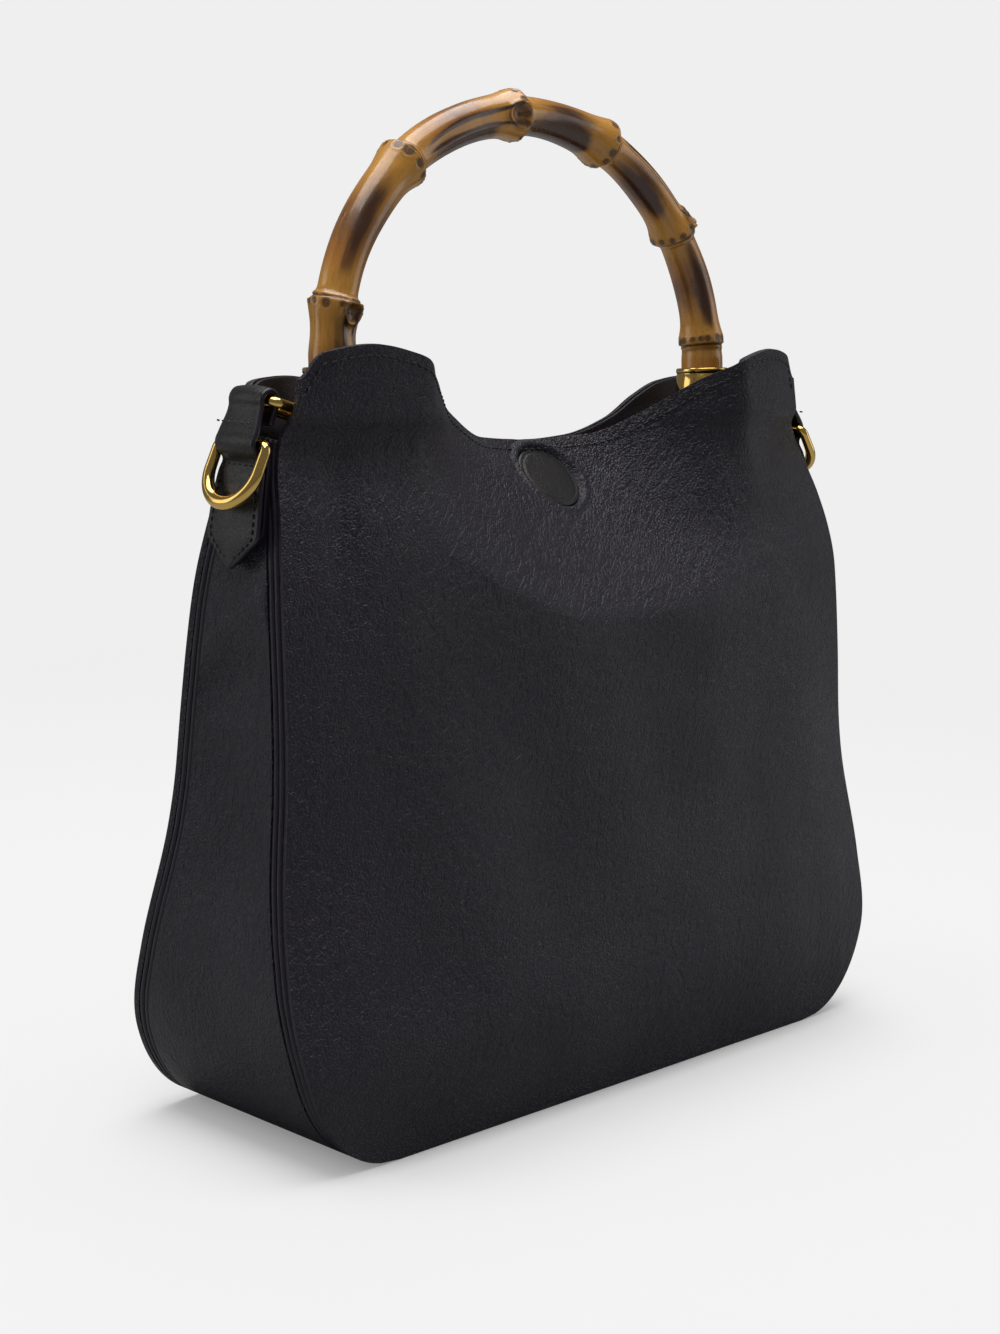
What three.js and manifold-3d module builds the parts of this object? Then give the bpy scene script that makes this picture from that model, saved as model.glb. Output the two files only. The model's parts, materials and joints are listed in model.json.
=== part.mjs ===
// A leather shoulder bag with a bamboo top handle, held by brass rings in leather side tabs.
// Millimetres, +Z up, front towards -Y. The origin is on the ground under the middle of the bag.
import * as THREE from "three";
import { mergeVertices } from "three/addons/utils/BufferGeometryUtils.js";
import Module from "manifold-3d";

const wasm = await Module();
wasm.setup();

// ---- Driving dimensions -------------------------------------------------------------------------

// The body, measured at its side seams
const HALF_WIDTH = 149; // widest, over the seams
const CORNER_RISE = 57; // height of the rounded bottom corner
const CORNER_RUN = 41; // its width
const CORNER_POWER = 2.2; // its fullness, 2 is an ellipse
const WAIST_NARROWING = 6.5; // how much less the half-width is at mid-height
const TOP_NARROWING = 17; // and at the free top corners
const RIGHT_SLUMP = 13.5; // how much further in the soft right side leans there
const RIGHT_BEND = 54; // how far below the seam's end that lean starts
const SEAM_TOP = 226; // height where the side seams end
const EDGE_TOP = 244; // height of the panels' free top corners
const BASE_HALF_DEPTH = 44; // seam to middle, at the ground
const SEAM_PINCH = 3.8; // how much nearer the middle the side seams end than the rings need

// The upper edges of the two panels, over the ground
const FRONT_DIP = 221;
const FRONT_EAR = 255;
const BACK_DIP = 220;
const BACK_EAR = 243;
const BACK_CORNER_DROP = 7; // how much lower the back's free top corners are than the front's
const EAR_MIDDLE = 106; // distance of the ears' highest point from the middle
const DIP_SHIFT = 0.07; // how far right of the middle the dip is, as a share of the half-width
const PULL_BACK = 18; // how far behind the middle the magnet draws the front edge
const EAR_FLARE = 7.7; // how much further out its ears stand than the handle rings need
const BACK_STAND = 25; // how far behind the middle the back edge stands

// Leather, lining and trim
const LEATHER = 2.2;
const FACING = 1.2;
const LINING = 0.8;
const GAP = 0.3; // between pieces that touch
const PIPING_RADIUS = 1.1;
const FACING_DROP = 40; // how far the facings reach down inside, at most
const LINING_BREAK = 1; // between a facing and the lining below it
const BOARD = 1.8;
const BOARD_HALF_LENGTH = 108;

// Magnetic closure
const MAGNET_RADIUS = 9;
const MAGNET_THICKNESS = 1.3;
const COVER_RADIUS = 13;
const COVER_THICKNESS = 0.8;
const COVER_RECESS = 1.2;
const MAGNET_DROP = 17; // below the edge, along the leather

// Side tabs
const TAB_TIP = 186;
const TAB_SHOULDER = 196;
const TAB_HALF_WIDTH = 12;
const TAB_THICKNESS = 2.2;
const TAB_BACKING = 2;
const LOOP_WALL = 2;
const LOOP_CLEARANCE = 0.5; // round each ring's bar
const TOP_LOOP_HALF_WIDTH = 7.8;
const RING_LOOP_HALF_WIDTH = 9;
const TOP_LOOP_INSET = 12; // from the body's widest half-width to the top loops
const TOP_LOOP = { x: HALF_WIDTH - TOP_LOOP_INSET, z: 237 };
const RING_LOOP_HEIGHT = 224;
const RING_LOOP_BACK_WALL = 0.8;

// Brass rings
const RING_WIRE = 1.6; // radius of the handle rings' wire
const D_WIRE = 1.7; // radius of the D-rings' wire, at the bar
const D_WIRE_SWELL = 0.6; // added at the bottom of the bow
const D_HALF_WIDTH = 11;
const D_DROP = 19.4;
const D_REST_ANGLE = 23; // degrees out from hanging straight, where it lies on the tab
const RING_CORNER = 3.4;
const RING_SIDE_CLEARANCE = 0.3; // between a handle ring's sides and its loop
const RING_TO_EAR = 0.8; // and between them and the ears

// Handle
const HANDLE_INSET = 37; // from the left top loop to the handle's left foot
const HANDLE_FOOT = TOP_LOOP.x - HANDLE_INSET;
const HANDLE_RISE = 82;
const HANDLE_SPRING = 250; // height where the arch starts to curve
const HANDLE_LEAN = 4.5; // degrees to the back
const EYE = { y: 4, z: 227.4 };
const EYE_HOLE = 4.2;
const EYE_WALL = 2.2;
const EYE_THICKNESS = 3;
const EYE_NECK = 1.4; // between the eye and its cup
const BAMBOO_RADIUS = 7;
const NODE_SWELL = 2.5; // how much thicker a bamboo node is
const NODE_ANGLES = [12, 50, 85, 113.5, 146, 176]; // round the arch from its left foot
const FERRULE_WALL = 1.6;
const FERRULE_LENGTH = 10;
const PIN_RADIUS = 1;
const PIN_CLEARANCE = 0.3;

// How finely curved pieces are divided
const PANEL_COLUMNS = 24;
const PANEL_ROWS = 14;
const CORNER_STEPS = 14;
const CLIMB_STEPS = 12;
const PIPING_STEPS = 56;
const PIPING_SIDES = 6;
const WIRE_SIDES = 8;
const BAMBOO_SIDES = 10;

// ---- Materials ----------------------------------------------------------------------------------

const finish = (color, roughness, metalness = 0) => ({ color, roughness, metalness });
const BLACK_LEATHER = finish(0x17161a, 0.5);
const TAB_LEATHER = finish(0x1c1b1e, 0.45);
const SUEDE = finish(0x2a2624, 0.9);
const FABRIC = finish(0x3a3430, 0.95);
const CARDBOARD = finish(0x8a7658, 0.9);
const BRASS = finish(0xd8a93a, 0.22, 1);
const STEEL = finish(0x9a9a9c, 0.35, 1);
const BAMBOO = finish(0xb06a22, 0.3);

const bag = new THREE.Group();
bag.name = "bamboo_handle_bag";

function add(parent, name, geometry, look) {
  const mesh = new THREE.Mesh(geometry, new THREE.MeshStandardMaterial(look));
  mesh.name = name;
  parent.add(mesh);
  return mesh;
}

// ---- Solids -------------------------------------------------------------------------------------

const v2 = (x, y) => new THREE.Vector2(x, y);

// A closed surface from points and triangles, turned so that its faces point outwards.
function closed(points, faces) {
  const cross = new THREE.Vector3();
  let sum = 0;
  for (let i = 0; i < faces.length; i += 3) {
    const [a, b, c] = [points[faces[i]], points[faces[i + 1]], points[faces[i + 2]]];
    sum += a.dot(cross.crossVectors(b, c));
  }
  if (sum < 0) faces.reverse();
  const geometry = new THREE.BufferGeometry().setFromPoints(points);
  geometry.setIndex(faces);
  geometry.computeVertexNormals();
  return geometry;
}

// A sheet of leather or cloth between two grids of points, outer and inner.
function sheet(outer, inner) {
  const rows = outer.length - 1;
  const cols = outer[0].length - 1;
  const at = (side, i, j) => (side * (rows + 1) + i) * (cols + 1) + j;
  const faces = [];
  const quad = (a, b, c, d) => faces.push(a, b, c, a, c, d);
  for (let i = 0; i < rows; i++) {
    for (let j = 0; j < cols; j++) {
      quad(at(0, i, j), at(0, i, j + 1), at(0, i + 1, j + 1), at(0, i + 1, j));
      quad(at(1, i, j), at(1, i + 1, j), at(1, i + 1, j + 1), at(1, i, j + 1));
    }
    quad(at(0, i, 0), at(0, i + 1, 0), at(1, i + 1, 0), at(1, i, 0));
    quad(at(0, i, cols), at(1, i, cols), at(1, i + 1, cols), at(0, i + 1, cols));
  }
  for (let j = 0; j < cols; j++) {
    quad(at(0, 0, j), at(1, 0, j), at(1, 0, j + 1), at(0, 0, j + 1));
    quad(at(0, rows, j), at(0, rows, j + 1), at(1, rows, j + 1), at(1, rows, j));
  }
  return closed([...outer.flat(), ...inner.flat()], faces);
}

// A round bar along stations of { at, across, radius }. Its section lies across the path, spanned by
// `across` and `up`. A wrapped bar is a ring, and one that isn't has flat ends.
function bar(stations, up, sides, wrapped) {
  const points = [];
  for (const { at, across, radius } of stations) {
    for (let k = 0; k < sides; k++) {
      const turn = (2 * Math.PI * k) / sides;
      const point = at.clone().addScaledVector(across, radius * Math.cos(turn));
      points.push(point.addScaledVector(up, radius * Math.sin(turn)));
    }
  }
  const faces = [];
  const count = stations.length;
  for (let i = 0; i < (wrapped ? count : count - 1); i++) {
    for (let k = 0; k < sides; k++) {
      const a = i * sides + k;
      const b = i * sides + ((k + 1) % sides);
      const next = ((i + 1) % count) * sides;
      const c = next + ((k + 1) % sides);
      const d = next + k;
      faces.push(a, b, c, a, c, d);
    }
  }
  if (!wrapped) {
    const last = (count - 1) * sides;
    for (let k = 1; k < sides - 1; k++) {
      faces.push(0, k + 1, k);
      faces.push(last, last + k, last + k + 1);
    }
  }
  return closed(points, faces);
}

function toSolid(geometry) {
  const plain = new THREE.BufferGeometry();
  const source = geometry.index ? geometry.toNonIndexed() : geometry;
  plain.setAttribute("position", source.getAttribute("position"));
  const merged = mergeVertices(plain, 1e-4);
  return new wasm.Manifold(
    new wasm.Mesh({
      numProp: 3,
      vertProperties: merged.getAttribute("position").array,
      triVerts: new Uint32Array(merged.index.array),
    }),
  );
}

function toGeometry(solid) {
  const { vertProperties, triVerts } = solid.getMesh();
  const geometry = new THREE.BufferGeometry();
  geometry.setAttribute("position", new THREE.BufferAttribute(vertProperties, 3));
  geometry.setIndex(new THREE.BufferAttribute(triVerts, 1));
  geometry.computeVertexNormals();
  return geometry;
}

// A cylinder along Y, centred at (x, y, z).
function crossCylinder(radius, length, x, y, z, sides = 20) {
  return new THREE.CylinderGeometry(radius, radius, length, sides).translate(x, y, z);
}

function mirrored(geometry) {
  const copy = geometry.clone().scale(-1, 1, 1);
  const index = Array.from(copy.index.array).reverse();
  copy.setIndex(index);
  copy.computeVertexNormals();
  return copy;
}

// A smooth function through pairs of [input, value], held level past its ends.
function through(pairs) {
  const points = pairs.map(([x, y]) => new THREE.Vector2(x, y));
  const slope = points.map((p, i) => {
    if (i === 0 || i === points.length - 1) return 0;
    const before = (p.y - points[i - 1].y) / (p.x - points[i - 1].x);
    const after = (points[i + 1].y - p.y) / (points[i + 1].x - p.x);
    return before * after > 0 ? (2 * before * after) / (before + after) : 0;
  });
  return (x) => {
    if (x <= points[0].x) return points[0].y;
    const last = points.length - 1;
    if (x >= points[last].x) return points[last].y;
    const i = points.findIndex((p) => p.x > x) - 1;
    const span = points[i + 1].x - points[i].x;
    const t = (x - points[i].x) / span;
    const h = (1 - t) * (1 - t);
    return (
      points[i].y * h * (1 + 2 * t) +
      slope[i] * span * h * t +
      points[i + 1].y * t * t * (3 - 2 * t) -
      slope[i + 1] * span * t * t * (1 - t)
    );
  };
}

// ---- The shape of the body ----------------------------------------------------------------------

const MID_HEIGHT = (CORNER_RISE + SEAM_TOP) / 2;
const TOP_HALF_WIDTH = HALF_WIDTH - TOP_NARROWING;
const sideWidth = through([
  [CORNER_RISE, HALF_WIDTH],
  [MID_HEIGHT - 20, HALF_WIDTH - WAIST_NARROWING + 1],
  [MID_HEIGHT + 30, HALF_WIDTH - WAIST_NARROWING],
  [SEAM_TOP - 18, HALF_WIDTH - WAIST_NARROWING - 3.5],
  [EDGE_TOP, TOP_HALF_WIDTH],
]);

// Distance of the left seam from the middle, at a height.
function halfWidth(z) {
  if (z >= CORNER_RISE) return sideWidth(z);
  const drop = Math.min(1, (CORNER_RISE - z) / CORNER_RISE);
  const reach = (1 - drop ** CORNER_POWER) ** (1 / CORNER_POWER);
  return HALF_WIDTH - CORNER_RUN + CORNER_RUN * reach;
}

// How much further in the right side stands, at a height, and where that puts its seam.
const slump = through([
  [SEAM_TOP - RIGHT_BEND, 0],
  [SEAM_TOP - RIGHT_BEND * 0.7, RIGHT_SLUMP * 0.14],
  [SEAM_TOP - RIGHT_BEND * 0.25, RIGHT_SLUMP * 0.57],
  [EDGE_TOP, RIGHT_SLUMP],
  [EDGE_TOP + RIGHT_BEND, RIGHT_SLUMP * 1.8],
]);
const rightWidth = (z) => halfWidth(z) - slump(z);

// Above the seams the ears part, and the handle rings pass between them.
const RING_HALF_WIDTH = TOP_LOOP_HALF_WIDTH + RING_SIDE_CLEARANCE + RING_WIRE;
const RING_PASSAGE = RING_HALF_WIDTH + RING_WIRE + RING_TO_EAR + LEATHER;
const EAR_BULGE = RING_PASSAGE + EAR_FLARE;

// Distance of the seams from the middle plane, at a height.
const halfDepth = through([
  [0, BASE_HALF_DEPTH],
  [30, BASE_HALF_DEPTH - 1],
  [60, BASE_HALF_DEPTH - 7.5],
  [100, BASE_HALF_DEPTH - 15.5],
  [140, BASE_HALF_DEPTH - 18.5],
  [180, BASE_HALF_DEPTH - 23],
  [200, BASE_HALF_DEPTH - 27],
  [SEAM_TOP, RING_PASSAGE - SEAM_PINCH],
  [SEAM_TOP + 7, RING_PASSAGE],
  [EDGE_TOP, RING_PASSAGE + 0.5],
]);

// How far the panels stand out past their seams, halfway along the bag.
const fullness = through([
  [0, 0],
  [30, 6],
  [60, 8],
  [100, 9.5],
  [140, 9],
  [180, 9],
  [FRONT_EAR, 9],
]);

const edgeHeight = (dip, ear, corner) =>
  through([
    [0, dip],
    [25, dip + 1.5],
    [50, dip + (ear - dip) * 0.32],
    [70, dip + (ear - dip) * 0.68],
    [88, dip + (ear - dip) * 0.92],
    [EAR_MIDDLE, ear],
    [TOP_HALF_WIDTH - 8, ear - (ear - corner) * 0.25],
    [TOP_HALF_WIDTH, corner],
  ]);
const CORNER_STAND = halfDepth(EDGE_TOP);
const frontPanel = {
  side: -1,
  edge: edgeHeight(FRONT_DIP, FRONT_EAR, EDGE_TOP),
  stand: through([
    [0, -PULL_BACK],
    [15, -PULL_BACK + 1.5],
    [50, 2 - PULL_BACK / 3],
    [70, EAR_BULGE - 11],
    [85, EAR_BULGE],
    [100, EAR_BULGE],
    [TOP_HALF_WIDTH - 14, (EAR_BULGE + CORNER_STAND) / 2 + 1],
    [TOP_HALF_WIDTH, CORNER_STAND],
  ]),
  reach: 58,
};
const backPanel = {
  side: 1,
  edge: edgeHeight(BACK_DIP, BACK_EAR, EDGE_TOP - BACK_CORNER_DROP),
  stand: through([
    [0, BACK_STAND],
    [60, BACK_STAND],
    [95, BACK_STAND - 1],
    [TOP_HALF_WIDTH - 14, (BACK_STAND + CORNER_STAND) / 2 + 1],
    [TOP_HALF_WIDTH, CORNER_STAND],
  ]),
  reach: 40,
};

// Distance from the dip along the upper edge, on the scale that the edge's outlines are drawn to.
// Across runs from -1 at the left seam to 1 at the right one.
const dipShift = (across) => DIP_SHIFT * (1 - across ** 2) * (1 + across);
const fromDip = (across) => Math.abs(across - dipShift(across)) * TOP_HALF_WIDTH;

// A point of a panel's outer face, at a height in millimetres.
function facePoint(panel, across, z) {
  const u = Math.abs(across);
  const belly = halfDepth(z) + fullness(z) * (1 - u ** 4);
  const top = panel.edge(fromDip(across));
  const reach = 12 + (panel.reach - 12) * (1 - u ** 6);
  const pull = Math.max(0, 1 - (top - z) / reach) ** 1.4;
  const depth = belly * (1 - pull) + panel.stand(fromDip(across)) * pull;
  const x = across * halfWidth(z) - (slump(z) * (1 + across)) / 2;
  return new THREE.Vector3(x, panel.side * depth, z);
}

// The outward direction of a panel's face there.
function faceNormal(panel, across, z) {
  const step = 0.5;
  const du = step / TOP_HALF_WIDTH;
  const low = Math.max(0, z - step);
  const left = facePoint(panel, Math.max(-1, across - du), z);
  const right = facePoint(panel, Math.min(1, across + du), z);
  const alongX = right.sub(left);
  const alongZ = facePoint(panel, across, low + 2 * step).sub(facePoint(panel, across, low));
  // The foot of the panel turns out with the corner, so only the slope in Y counts.
  alongZ.x = 0;
  alongX.z = 0;
  return alongZ.cross(alongX).normalize().multiplyScalar(panel.side);
}

// Columns crowd towards the seams, and rows towards the foot and the edge.
const columns = Array.from({ length: PANEL_COLUMNS + 1 }, (_, j) => {
  const s = (2 * j) / PANEL_COLUMNS - 1;
  return 0.6 * s + 0.4 * Math.sin((Math.PI * s) / 2);
});
const rowShares = Array.from({ length: PANEL_ROWS + 1 }, (_, i) => {
  const t = i / PANEL_ROWS;
  return 0.55 * t + 0.225 * (1 - Math.cos(Math.PI * t));
});

function placeOnRow(panel, across, row) {
  const z = rowShares[row] * panel.edge(fromDip(across));
  return { point: facePoint(panel, across, z), normal: faceNormal(panel, across, z) };
}

// A layer of a panel, between two depths under its outer face. It covers whole rows and columns of
// the panel, so layers follow each other, and it may be cut short of its lowest and highest row.
function layer(panel, depthFrom, depthTo, { first = 0, last = PANEL_ROWS, cut = 0, trim = 0 } = {}) {
  const outer = [];
  const inner = [];
  const used = columns.slice(cut, columns.length - cut);
  for (let i = first; i <= last; i++) {
    const drop = i === last ? trim : 0;
    const places = used.map((across) => {
      const here = placeOnRow(panel, across, i);
      if (drop === 0) return here;
      // A trimmed row stays in the flat facets between its neighbours, as the layer above it does.
      const below = placeOnRow(panel, across, i - 1);
      const share = drop / (here.point.z - below.point.z);
      return {
        point: here.point.lerp(below.point, share),
        normal: here.normal.lerp(below.normal, share),
      };
    });
    const under = (depth) =>
      places.map(({ point, normal }) => {
        const moved = point.clone().addScaledVector(normal, -depth);
        moved.z = Math.max(moved.z, 0);
        return moved;
      });
    outer.push(under(depthFrom));
    inner.push(under(depthTo));
  }
  return sheet(outer, inner);
}

// ---- Panels, facings and linings ----------------------------------------------------------------

const FACING_FROM = LEATHER + GAP;
const FACING_TO = FACING_FROM + FACING;
const LINING_TO = FACING_FROM + LINING;
const BAND_DEPTH = LEATHER + GAP + BOARD + GAP; // from the gusset's outer face to its lining

function magnetPlace(panel) {
  const slope = faceNormal(panel, DIP_SHIFT, panel.edge(0) - MAGNET_DROP / 2);
  const height = panel.edge(0) - MAGNET_DROP * Math.abs(slope.y);
  return {
    at: facePoint(panel, DIP_SHIFT, height),
    normal: faceNormal(panel, DIP_SHIFT, height),
  };
}

// A disc whose outer face lies at a depth under the panel's face, at the magnet.
function disc(place, radius, thickness, depth) {
  const geometry = new THREE.CylinderGeometry(radius, radius, thickness, 32);
  const turn = new THREE.Quaternion();
  turn.setFromUnitVectors(new THREE.Vector3(0, 1, 0), place.normal);
  geometry.applyQuaternion(turn);
  const centre = place.at.clone().addScaledVector(place.normal, -depth - thickness / 2);
  return geometry.translate(centre.x, centre.y, centre.z);
}

function addPanel(name, panel, covered) {
  const place = magnetPlace(panel);
  const facingFoot = rowShares.findIndex((share) => (1 - share) * panel.edge(0) <= FACING_DROP);
  let shell = toSolid(layer(panel, 0, LEATHER));
  if (covered) {
    const cutter = disc(place, COVER_RADIUS + GAP, COVER_RECESS + 8, -8);
    shell = shell.subtract(toSolid(cutter));
    const cover = disc(place, COVER_RADIUS, COVER_THICKNESS, COVER_RECESS - GAP / 2 - COVER_THICKNESS);
    add(bag, name + "_magnet_cover", cover, TAB_LEATHER);
  }
  add(bag, name + "_panel", toGeometry(shell), BLACK_LEATHER);
  const facing = toSolid(
    layer(panel, FACING_FROM, FACING_TO, { first: facingFoot, cut: 1, trim: GAP }),
  );
  const pocket = disc(place, MAGNET_RADIUS + GAP, 12, -2);
  add(bag, name + "_facing", toGeometry(facing.subtract(toSolid(pocket))), SUEDE);
  const magnet = disc(place, MAGNET_RADIUS, MAGNET_THICKNESS, FACING_FROM + GAP);
  add(bag, name + "_magnet", magnet, STEEL);
  const lining = layer(panel, FACING_FROM, LINING_TO, {
    first: 1,
    last: facingFoot,
    cut: 1,
    trim: LINING_BREAK,
  });
  add(bag, name + "_lining", lining, FABRIC);
}
addPanel("front", frontPanel, true);
addPanel("back", backPanel, false);

// ---- Gusset, its lining, base board and piping --------------------------------------------------

// The right half of a seam line in the XZ plane, from the middle of the bottom up to a height, moved
// inwards by a distance. The width is that of the left or the right side.
function halfSeam(width, inwards, to) {
  const line = [v2(0, 0), v2((HALF_WIDTH - CORNER_RUN) * 0.6, 0)];
  for (let i = 0; i <= CORNER_STEPS; i++) {
    const turn = (Math.PI / 2) * (i / CORNER_STEPS);
    const x = HALF_WIDTH - CORNER_RUN + CORNER_RUN * Math.sin(turn) ** (2 / CORNER_POWER);
    line.push(v2(x, CORNER_RISE - CORNER_RISE * Math.cos(turn) ** (2 / CORNER_POWER)));
  }
  for (let i = 1; i <= CLIMB_STEPS; i++) {
    const z = CORNER_RISE + (to - CORNER_RISE) * (i / CLIMB_STEPS);
    line.push(v2(width(z), z));
  }
  const moved = line.map((p, i) => {
    const before = line[Math.max(0, i - 1)];
    const after = line[Math.min(line.length - 1, i + 1)];
    const along = after.clone().sub(before).normalize();
    return v2(p.x - along.y * inwards, p.y + along.x * inwards);
  });
  moved[0].set(0, inwards);
  moved[1].y = inwards;
  return moved;
}

// The whole line, from the left seam's top round the bottom to the right one's.
function seamLine(inwards, to) {
  const left = halfSeam(halfWidth, inwards, to).slice(1).reverse();
  return [...left.map((p) => v2(-p.x, p.y)), ...halfSeam(rightWidth, inwards, to)];
}

// A band across the bag between the two seams: it follows the seam line between two depths.
function band(from, to, sideGap, top) {
  const outer = seamLine(from, top);
  const inner = seamLine(to, top);
  const shares = [-1, 0, 1];
  const grid = (line) =>
    line.map((p, i) => {
      const half = halfDepth(outer[i].y) - sideGap;
      return shares.map((share) => new THREE.Vector3(p.x, share * half, p.y));
    });
  return sheet(grid(outer), grid(inner));
}

const PIPE = 2 * PIPING_RADIUS + GAP;
const GUSSET_SIDE_GAP = LEATHER + GAP + 2 * PIPE;
add(bag, "gusset", band(0, LEATHER, GUSSET_SIDE_GAP, SEAM_TOP), BLACK_LEATHER);
const bandLining = band(
  BAND_DEPTH,
  BAND_DEPTH + LINING,
  FACING_TO + 1,
  SEAM_TOP - 2,
);
add(bag, "gusset_lining", bandLining, FABRIC);

const boardHalfDepth = BASE_HALF_DEPTH - GUSSET_SIDE_GAP - 2;
const board = new THREE.BoxGeometry(2 * BOARD_HALF_LENGTH, 2 * boardHalfDepth, BOARD);
board.translate(0, 0, LEATHER + GAP + BOARD / 2);
add(bag, "base_board", board, CARDBOARD);

// A piping cord under its own leather, along a seam at a distance inside the panel's face.
function piping(side, inside) {
  const line = seamLine(PIPING_RADIUS + 0.15, SEAM_TOP);
  const path = new THREE.CatmullRomCurve3(
    line.map((p) => new THREE.Vector3(p.x, side * (halfDepth(p.y) - inside), p.y)),
  );
  const section = new THREE.Shape();
  section.absarc(0, 0, PIPING_RADIUS, 0, 2 * Math.PI);
  return new THREE.ExtrudeGeometry(section, {
    steps: PIPING_STEPS,
    curveSegments: PIPING_SIDES / 2,
    extrudePath: path,
    bevelEnabled: false,
  });
}
for (const [name, side] of [
  ["front", -1],
  ["back", 1],
]) {
  const first = LEATHER + GAP + PIPING_RADIUS;
  add(bag, name + "_piping", piping(side, first), BLACK_LEATHER);
  add(bag, name + "_welt", piping(side, first + PIPE), BLACK_LEATHER);
}

// ---- Side tabs and D-rings ----------------------------------------------------------------------

const LOOP_HOLE = RING_WIRE + LOOP_CLEARANCE;
const LOOP_OUTER = LOOP_HOLE + LOOP_WALL;
const D_LOOP_HOLE = D_WIRE + LOOP_CLEARANCE;
const TAB_OFFSET = GAP + TAB_BACKING + GAP; // from the gusset to the tab's back

// A side of the bag, drawn as the right one: the line that its strap follows, the distance of its two
// bars from the middle, and how its D-ring hangs. The right side leans in, and its pieces with it.
function sideOf(leansIn) {
  const line = (z) => halfWidth(Math.min(z, SEAM_TOP)) - leansIn(z);
  const fall = RING_LOOP_HEIGHT - TAB_SHOULDER;
  const extraLean = Math.atan2(leansIn(RING_LOOP_HEIGHT) - leansIn(TAB_SHOULDER), fall);
  return {
    line,
    top: TOP_LOOP.x - leansIn(TOP_LOOP.z),
    ring: line(RING_LOOP_HEIGHT) + TAB_OFFSET + RING_LOOP_BACK_WALL + D_LOOP_HOLE,
    hang: Math.PI / 2 - THREE.MathUtils.degToRad(D_REST_ANGLE) - extraLean,
  };
}
const LEFT = sideOf(() => 0);
const RIGHT = sideOf(slump);

// A strip of constant thickness that lies over a side of the bag, between two heights.
function sideStrip(side, offset, thickness, low, high) {
  const steps = 10;
  const heights = Array.from({ length: steps + 1 }, (_, i) => low + ((high - low) * i) / steps);
  const outline = [
    ...heights.map((z) => v2(side.line(z) + offset, z)),
    ...heights.reverse().map((z) => v2(side.line(z) + offset + thickness, z)),
  ];
  return alongY(new THREE.Shape(outline), 2 * TAB_HALF_WIDTH + 2);
}

// A shape drawn in XZ, given a thickness along Y about the middle plane.
function alongY(shape, depth) {
  const geometry = new THREE.ExtrudeGeometry(shape, {
    depth,
    bevelEnabled: false,
    curveSegments: 12,
  });
  return geometry.translate(0, 0, -depth / 2).rotateX(Math.PI / 2);
}

// The tab's outline from the side, as a block through the strap: narrow at the loops, pointed below.
function tabOutline(margin) {
  const half = [
    [0, TAB_TIP + margin],
    [TAB_HALF_WIDTH - margin, TAB_SHOULDER + margin / 2],
    [RING_LOOP_HALF_WIDTH - margin, RING_LOOP_HEIGHT - LOOP_OUTER],
    [RING_LOOP_HALF_WIDTH - margin, RING_LOOP_HEIGHT + LOOP_OUTER - 1],
    [TOP_LOOP_HALF_WIDTH - margin, TOP_LOOP.z - LOOP_OUTER + 1],
    [TOP_LOOP_HALF_WIDTH - margin, TOP_LOOP.z + LOOP_OUTER + 1],
  ];
  const outline = [
    ...half.map(([y, z]) => new THREE.Vector2(y, z)),
    ...half.slice(1).reverse().map(([y, z]) => new THREE.Vector2(-y, z)),
  ];
  const depth = 60;
  const block = new THREE.ExtrudeGeometry(new THREE.Shape(outline), { depth, bevelEnabled: false });
  // Drawn in XY, the outline is stood up into YZ.
  const stand = new THREE.Matrix4().makeBasis(
    new THREE.Vector3(0, 1, 0),
    new THREE.Vector3(0, 0, 1),
    new THREE.Vector3(1, 0, 0),
  );
  return block.applyMatrix4(stand).translate(TOP_LOOP.x - depth / 2, 0, 0);
}

function tab(side) {
  const long = 2 * TAB_HALF_WIDTH + 2;
  const ringLoop = D_LOOP_HOLE + LOOP_WALL;
  const atTop = (radius) => toSolid(crossCylinder(radius, long, side.top, 0, TOP_LOOP.z, 24));
  const atRing = (radius) => toSolid(crossCylinder(radius, long, side.ring, 0, RING_LOOP_HEIGHT, 24));
  const strap = toSolid(sideStrip(side, TAB_OFFSET, TAB_THICKNESS, TAB_TIP - 1, TOP_LOOP.z))
    .add(atTop(LOOP_OUTER))
    .add(atRing(ringLoop))
    .intersect(toSolid(tabOutline(0)))
    .subtract(atTop(LOOP_HOLE))
    .subtract(atRing(D_LOOP_HOLE));
  return toGeometry(strap);
}

function tabBacking(side) {
  const top = RING_LOOP_HEIGHT - D_LOOP_HOLE - LOOP_WALL;
  const strip = toSolid(sideStrip(side, GAP, TAB_BACKING, TAB_TIP - 1, top));
  return toGeometry(strip.intersect(toSolid(tabOutline(0.8))));
}

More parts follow.
